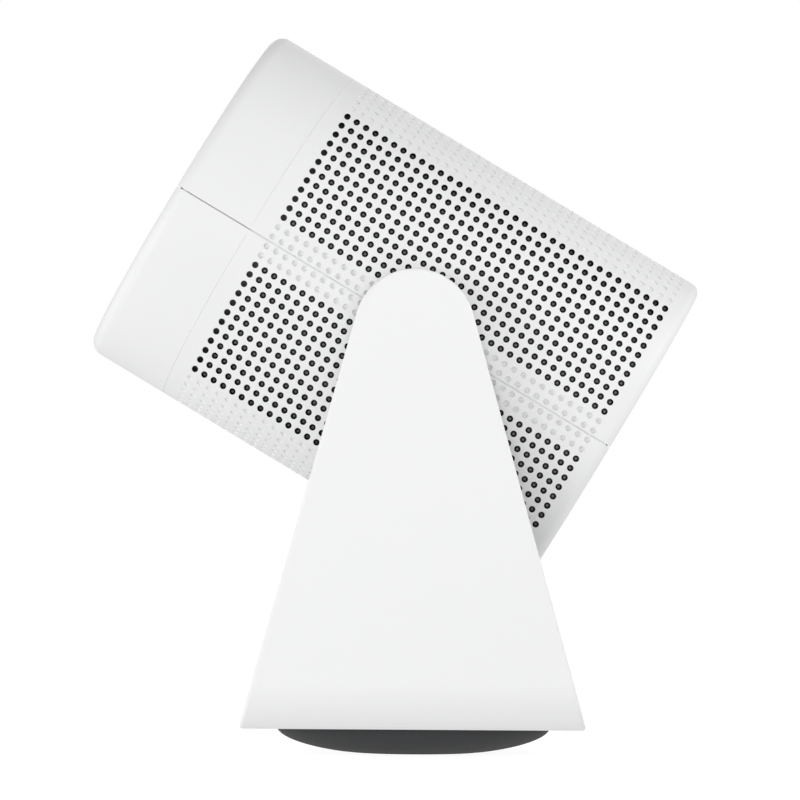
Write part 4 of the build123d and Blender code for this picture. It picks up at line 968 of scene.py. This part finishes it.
# where each soft box stands: degrees round from the camera's side and degrees up, then metres away,
# its width and its watts
lampLooks = {
    "keyBox": {"round": -55, "up": 5, "away": 1.3, "width": 0.7, "watts": 5.4},
    "sideBox": {"round": -30, "up": 5, "away": 1.3, "width": 0.5, "watts": 0.7},
    "leftBox": {"round": -110, "up": 10, "away": 1.3, "width": 0.9, "watts": 1.6},
    "frontBox": {"round": 0, "up": -3, "away": 1.3, "width": 0.25, "watts": 1.6},
    "rightBox": {"round": 55, "up": 35, "away": 1.3, "width": 0.7, "watts": 0.85},
    "upperBox": {"round": 35, "up": 40, "away": 1.3, "width": 0.7, "watts": 0.8},
    "rimBox": {"round": 70, "up": 30, "away": 0.75, "width": 0.4, "watts": 1.75},
    "backBox": {"round": 180, "up": 12, "away": 1.3, "width": 0.7, "watts": 1.5},
}
# distance in metres, the aim and a pixel's size in mm, angles in degrees
cameraLook = {"distance": 3.08, "aimAlong": -6.26, "aimHeight": 143.7, "yaw": 0.36, "roll": 0.35,
              "sizePerPixel": 0.4091, "pixels": 800, "sensor": 36, "near": 0.05, "far": 60}


def makeFloor(look):
    clearSelection()
    bpy.ops.mesh.primitive_plane_add(size=look["floorSize"], location=(0, 0, -look["floorDrop"]))
    floor = bpy.context.object
    floor.name = "studioFloor"
    finish = Finish("studioFloor")
    seen = finish.node("ShaderNodeBsdfPrincipled", {}, {
        "Base Color": (look["floorTone"],) * 3 + (1,), "Roughness": 1.0, "Specular IOR Level": 0.0,
        "Emission Color": (1, 1, 1, 1), "Emission Strength": look["floorSeen"]})
    bounce = finish.node("ShaderNodeEmission", {}, {"Strength": look["floorBounce"]})
    direct = finish.node("ShaderNodeLightPath", {}, {}, "Is Camera Ray")
    mixed = finish.node("ShaderNodeMixShader", {}, {0: direct, 1: bounce, 2: seen})
    finish.node("ShaderNodeOutputMaterial", {}, {"Surface": mixed})
    floor.data.materials.append(finish.material)


def makeLamp(name, look, aimHeight):
    aim = Vector((0, 0, aimHeight))
    turn, lift = math.radians(look["round"]), math.radians(look["up"])
    place = aim + look["away"] * Vector((
        math.cos(turn) * math.cos(lift), math.sin(turn) * math.cos(lift), math.sin(lift)))
    clearSelection()
    bpy.ops.object.light_add(type="AREA", location=place)
    lamp = bpy.context.object
    lamp.name = name
    lamp.data.shape = "SQUARE"
    lamp.data.size = look["width"]
    lamp.data.energy = look["watts"]
    lamp.rotation_euler = (aim - place).to_track_quat("-Z", "Y").to_euler()


def makeWorld(look):
    # white behind the object, softer light from the same room
    world = bpy.data.worlds.new("studio")
    bpy.context.scene.world = world
    world.use_nodes = True
    tree = world.node_tree
    tree.nodes.clear()
    path = tree.nodes.new("ShaderNodeLightPath")
    seen, room = [tree.nodes.new("ShaderNodeBackground") for _ in range(2)]
    for background, strength in ((seen, 1.0), (room, look["ambient"])):
        background.inputs["Color"].default_value = (1, 1, 1, 1)
        background.inputs["Strength"].default_value = strength
    mix = tree.nodes.new("ShaderNodeMixShader")
    out = tree.nodes.new("ShaderNodeOutputWorld")
    tree.links.new(path.outputs["Is Camera Ray"], mix.inputs[0])
    tree.links.new(room.outputs[0], mix.inputs[1])
    tree.links.new(seen.outputs[0], mix.inputs[2])
    tree.links.new(mix.outputs[0], out.inputs["Surface"])


def makeCamera(look):
    aim = Vector((0, look["aimAlong"], look["aimHeight"])) * mm
    yaw = math.radians(look["yaw"])
    place = aim + Vector((math.cos(yaw), math.sin(yaw), 0)) * look["distance"]
    clearSelection()
    bpy.ops.object.camera_add(location=place)
    camera = bpy.context.object
    camera.name = "camera"
    straight = (aim - place).to_track_quat("-Z", "Y")
    roll = Matrix.Rotation(math.radians(look["roll"]), 3, "Z")
    camera.rotation_euler = (straight.to_matrix() @ roll).to_euler()
    width = look["pixels"] * look["sizePerPixel"] * mm
    camera.data.sensor_width = look["sensor"]
    camera.data.lens = look["sensor"] * look["distance"] / width
    camera.data.clip_start = look["near"]
    camera.data.clip_end = look["far"]
    bpy.context.scene.camera = camera


makeFloor(studioLook)
makeWorld(studioLook)
for name, look in lampLooks.items():
    makeLamp(name, look, studioLook["lampAim"])
makeCamera(cameraLook)
bpy.context.scene.view_settings.view_transform = "Standard"
bpy.context.scene.view_settings.look = "None"
print("studio made")
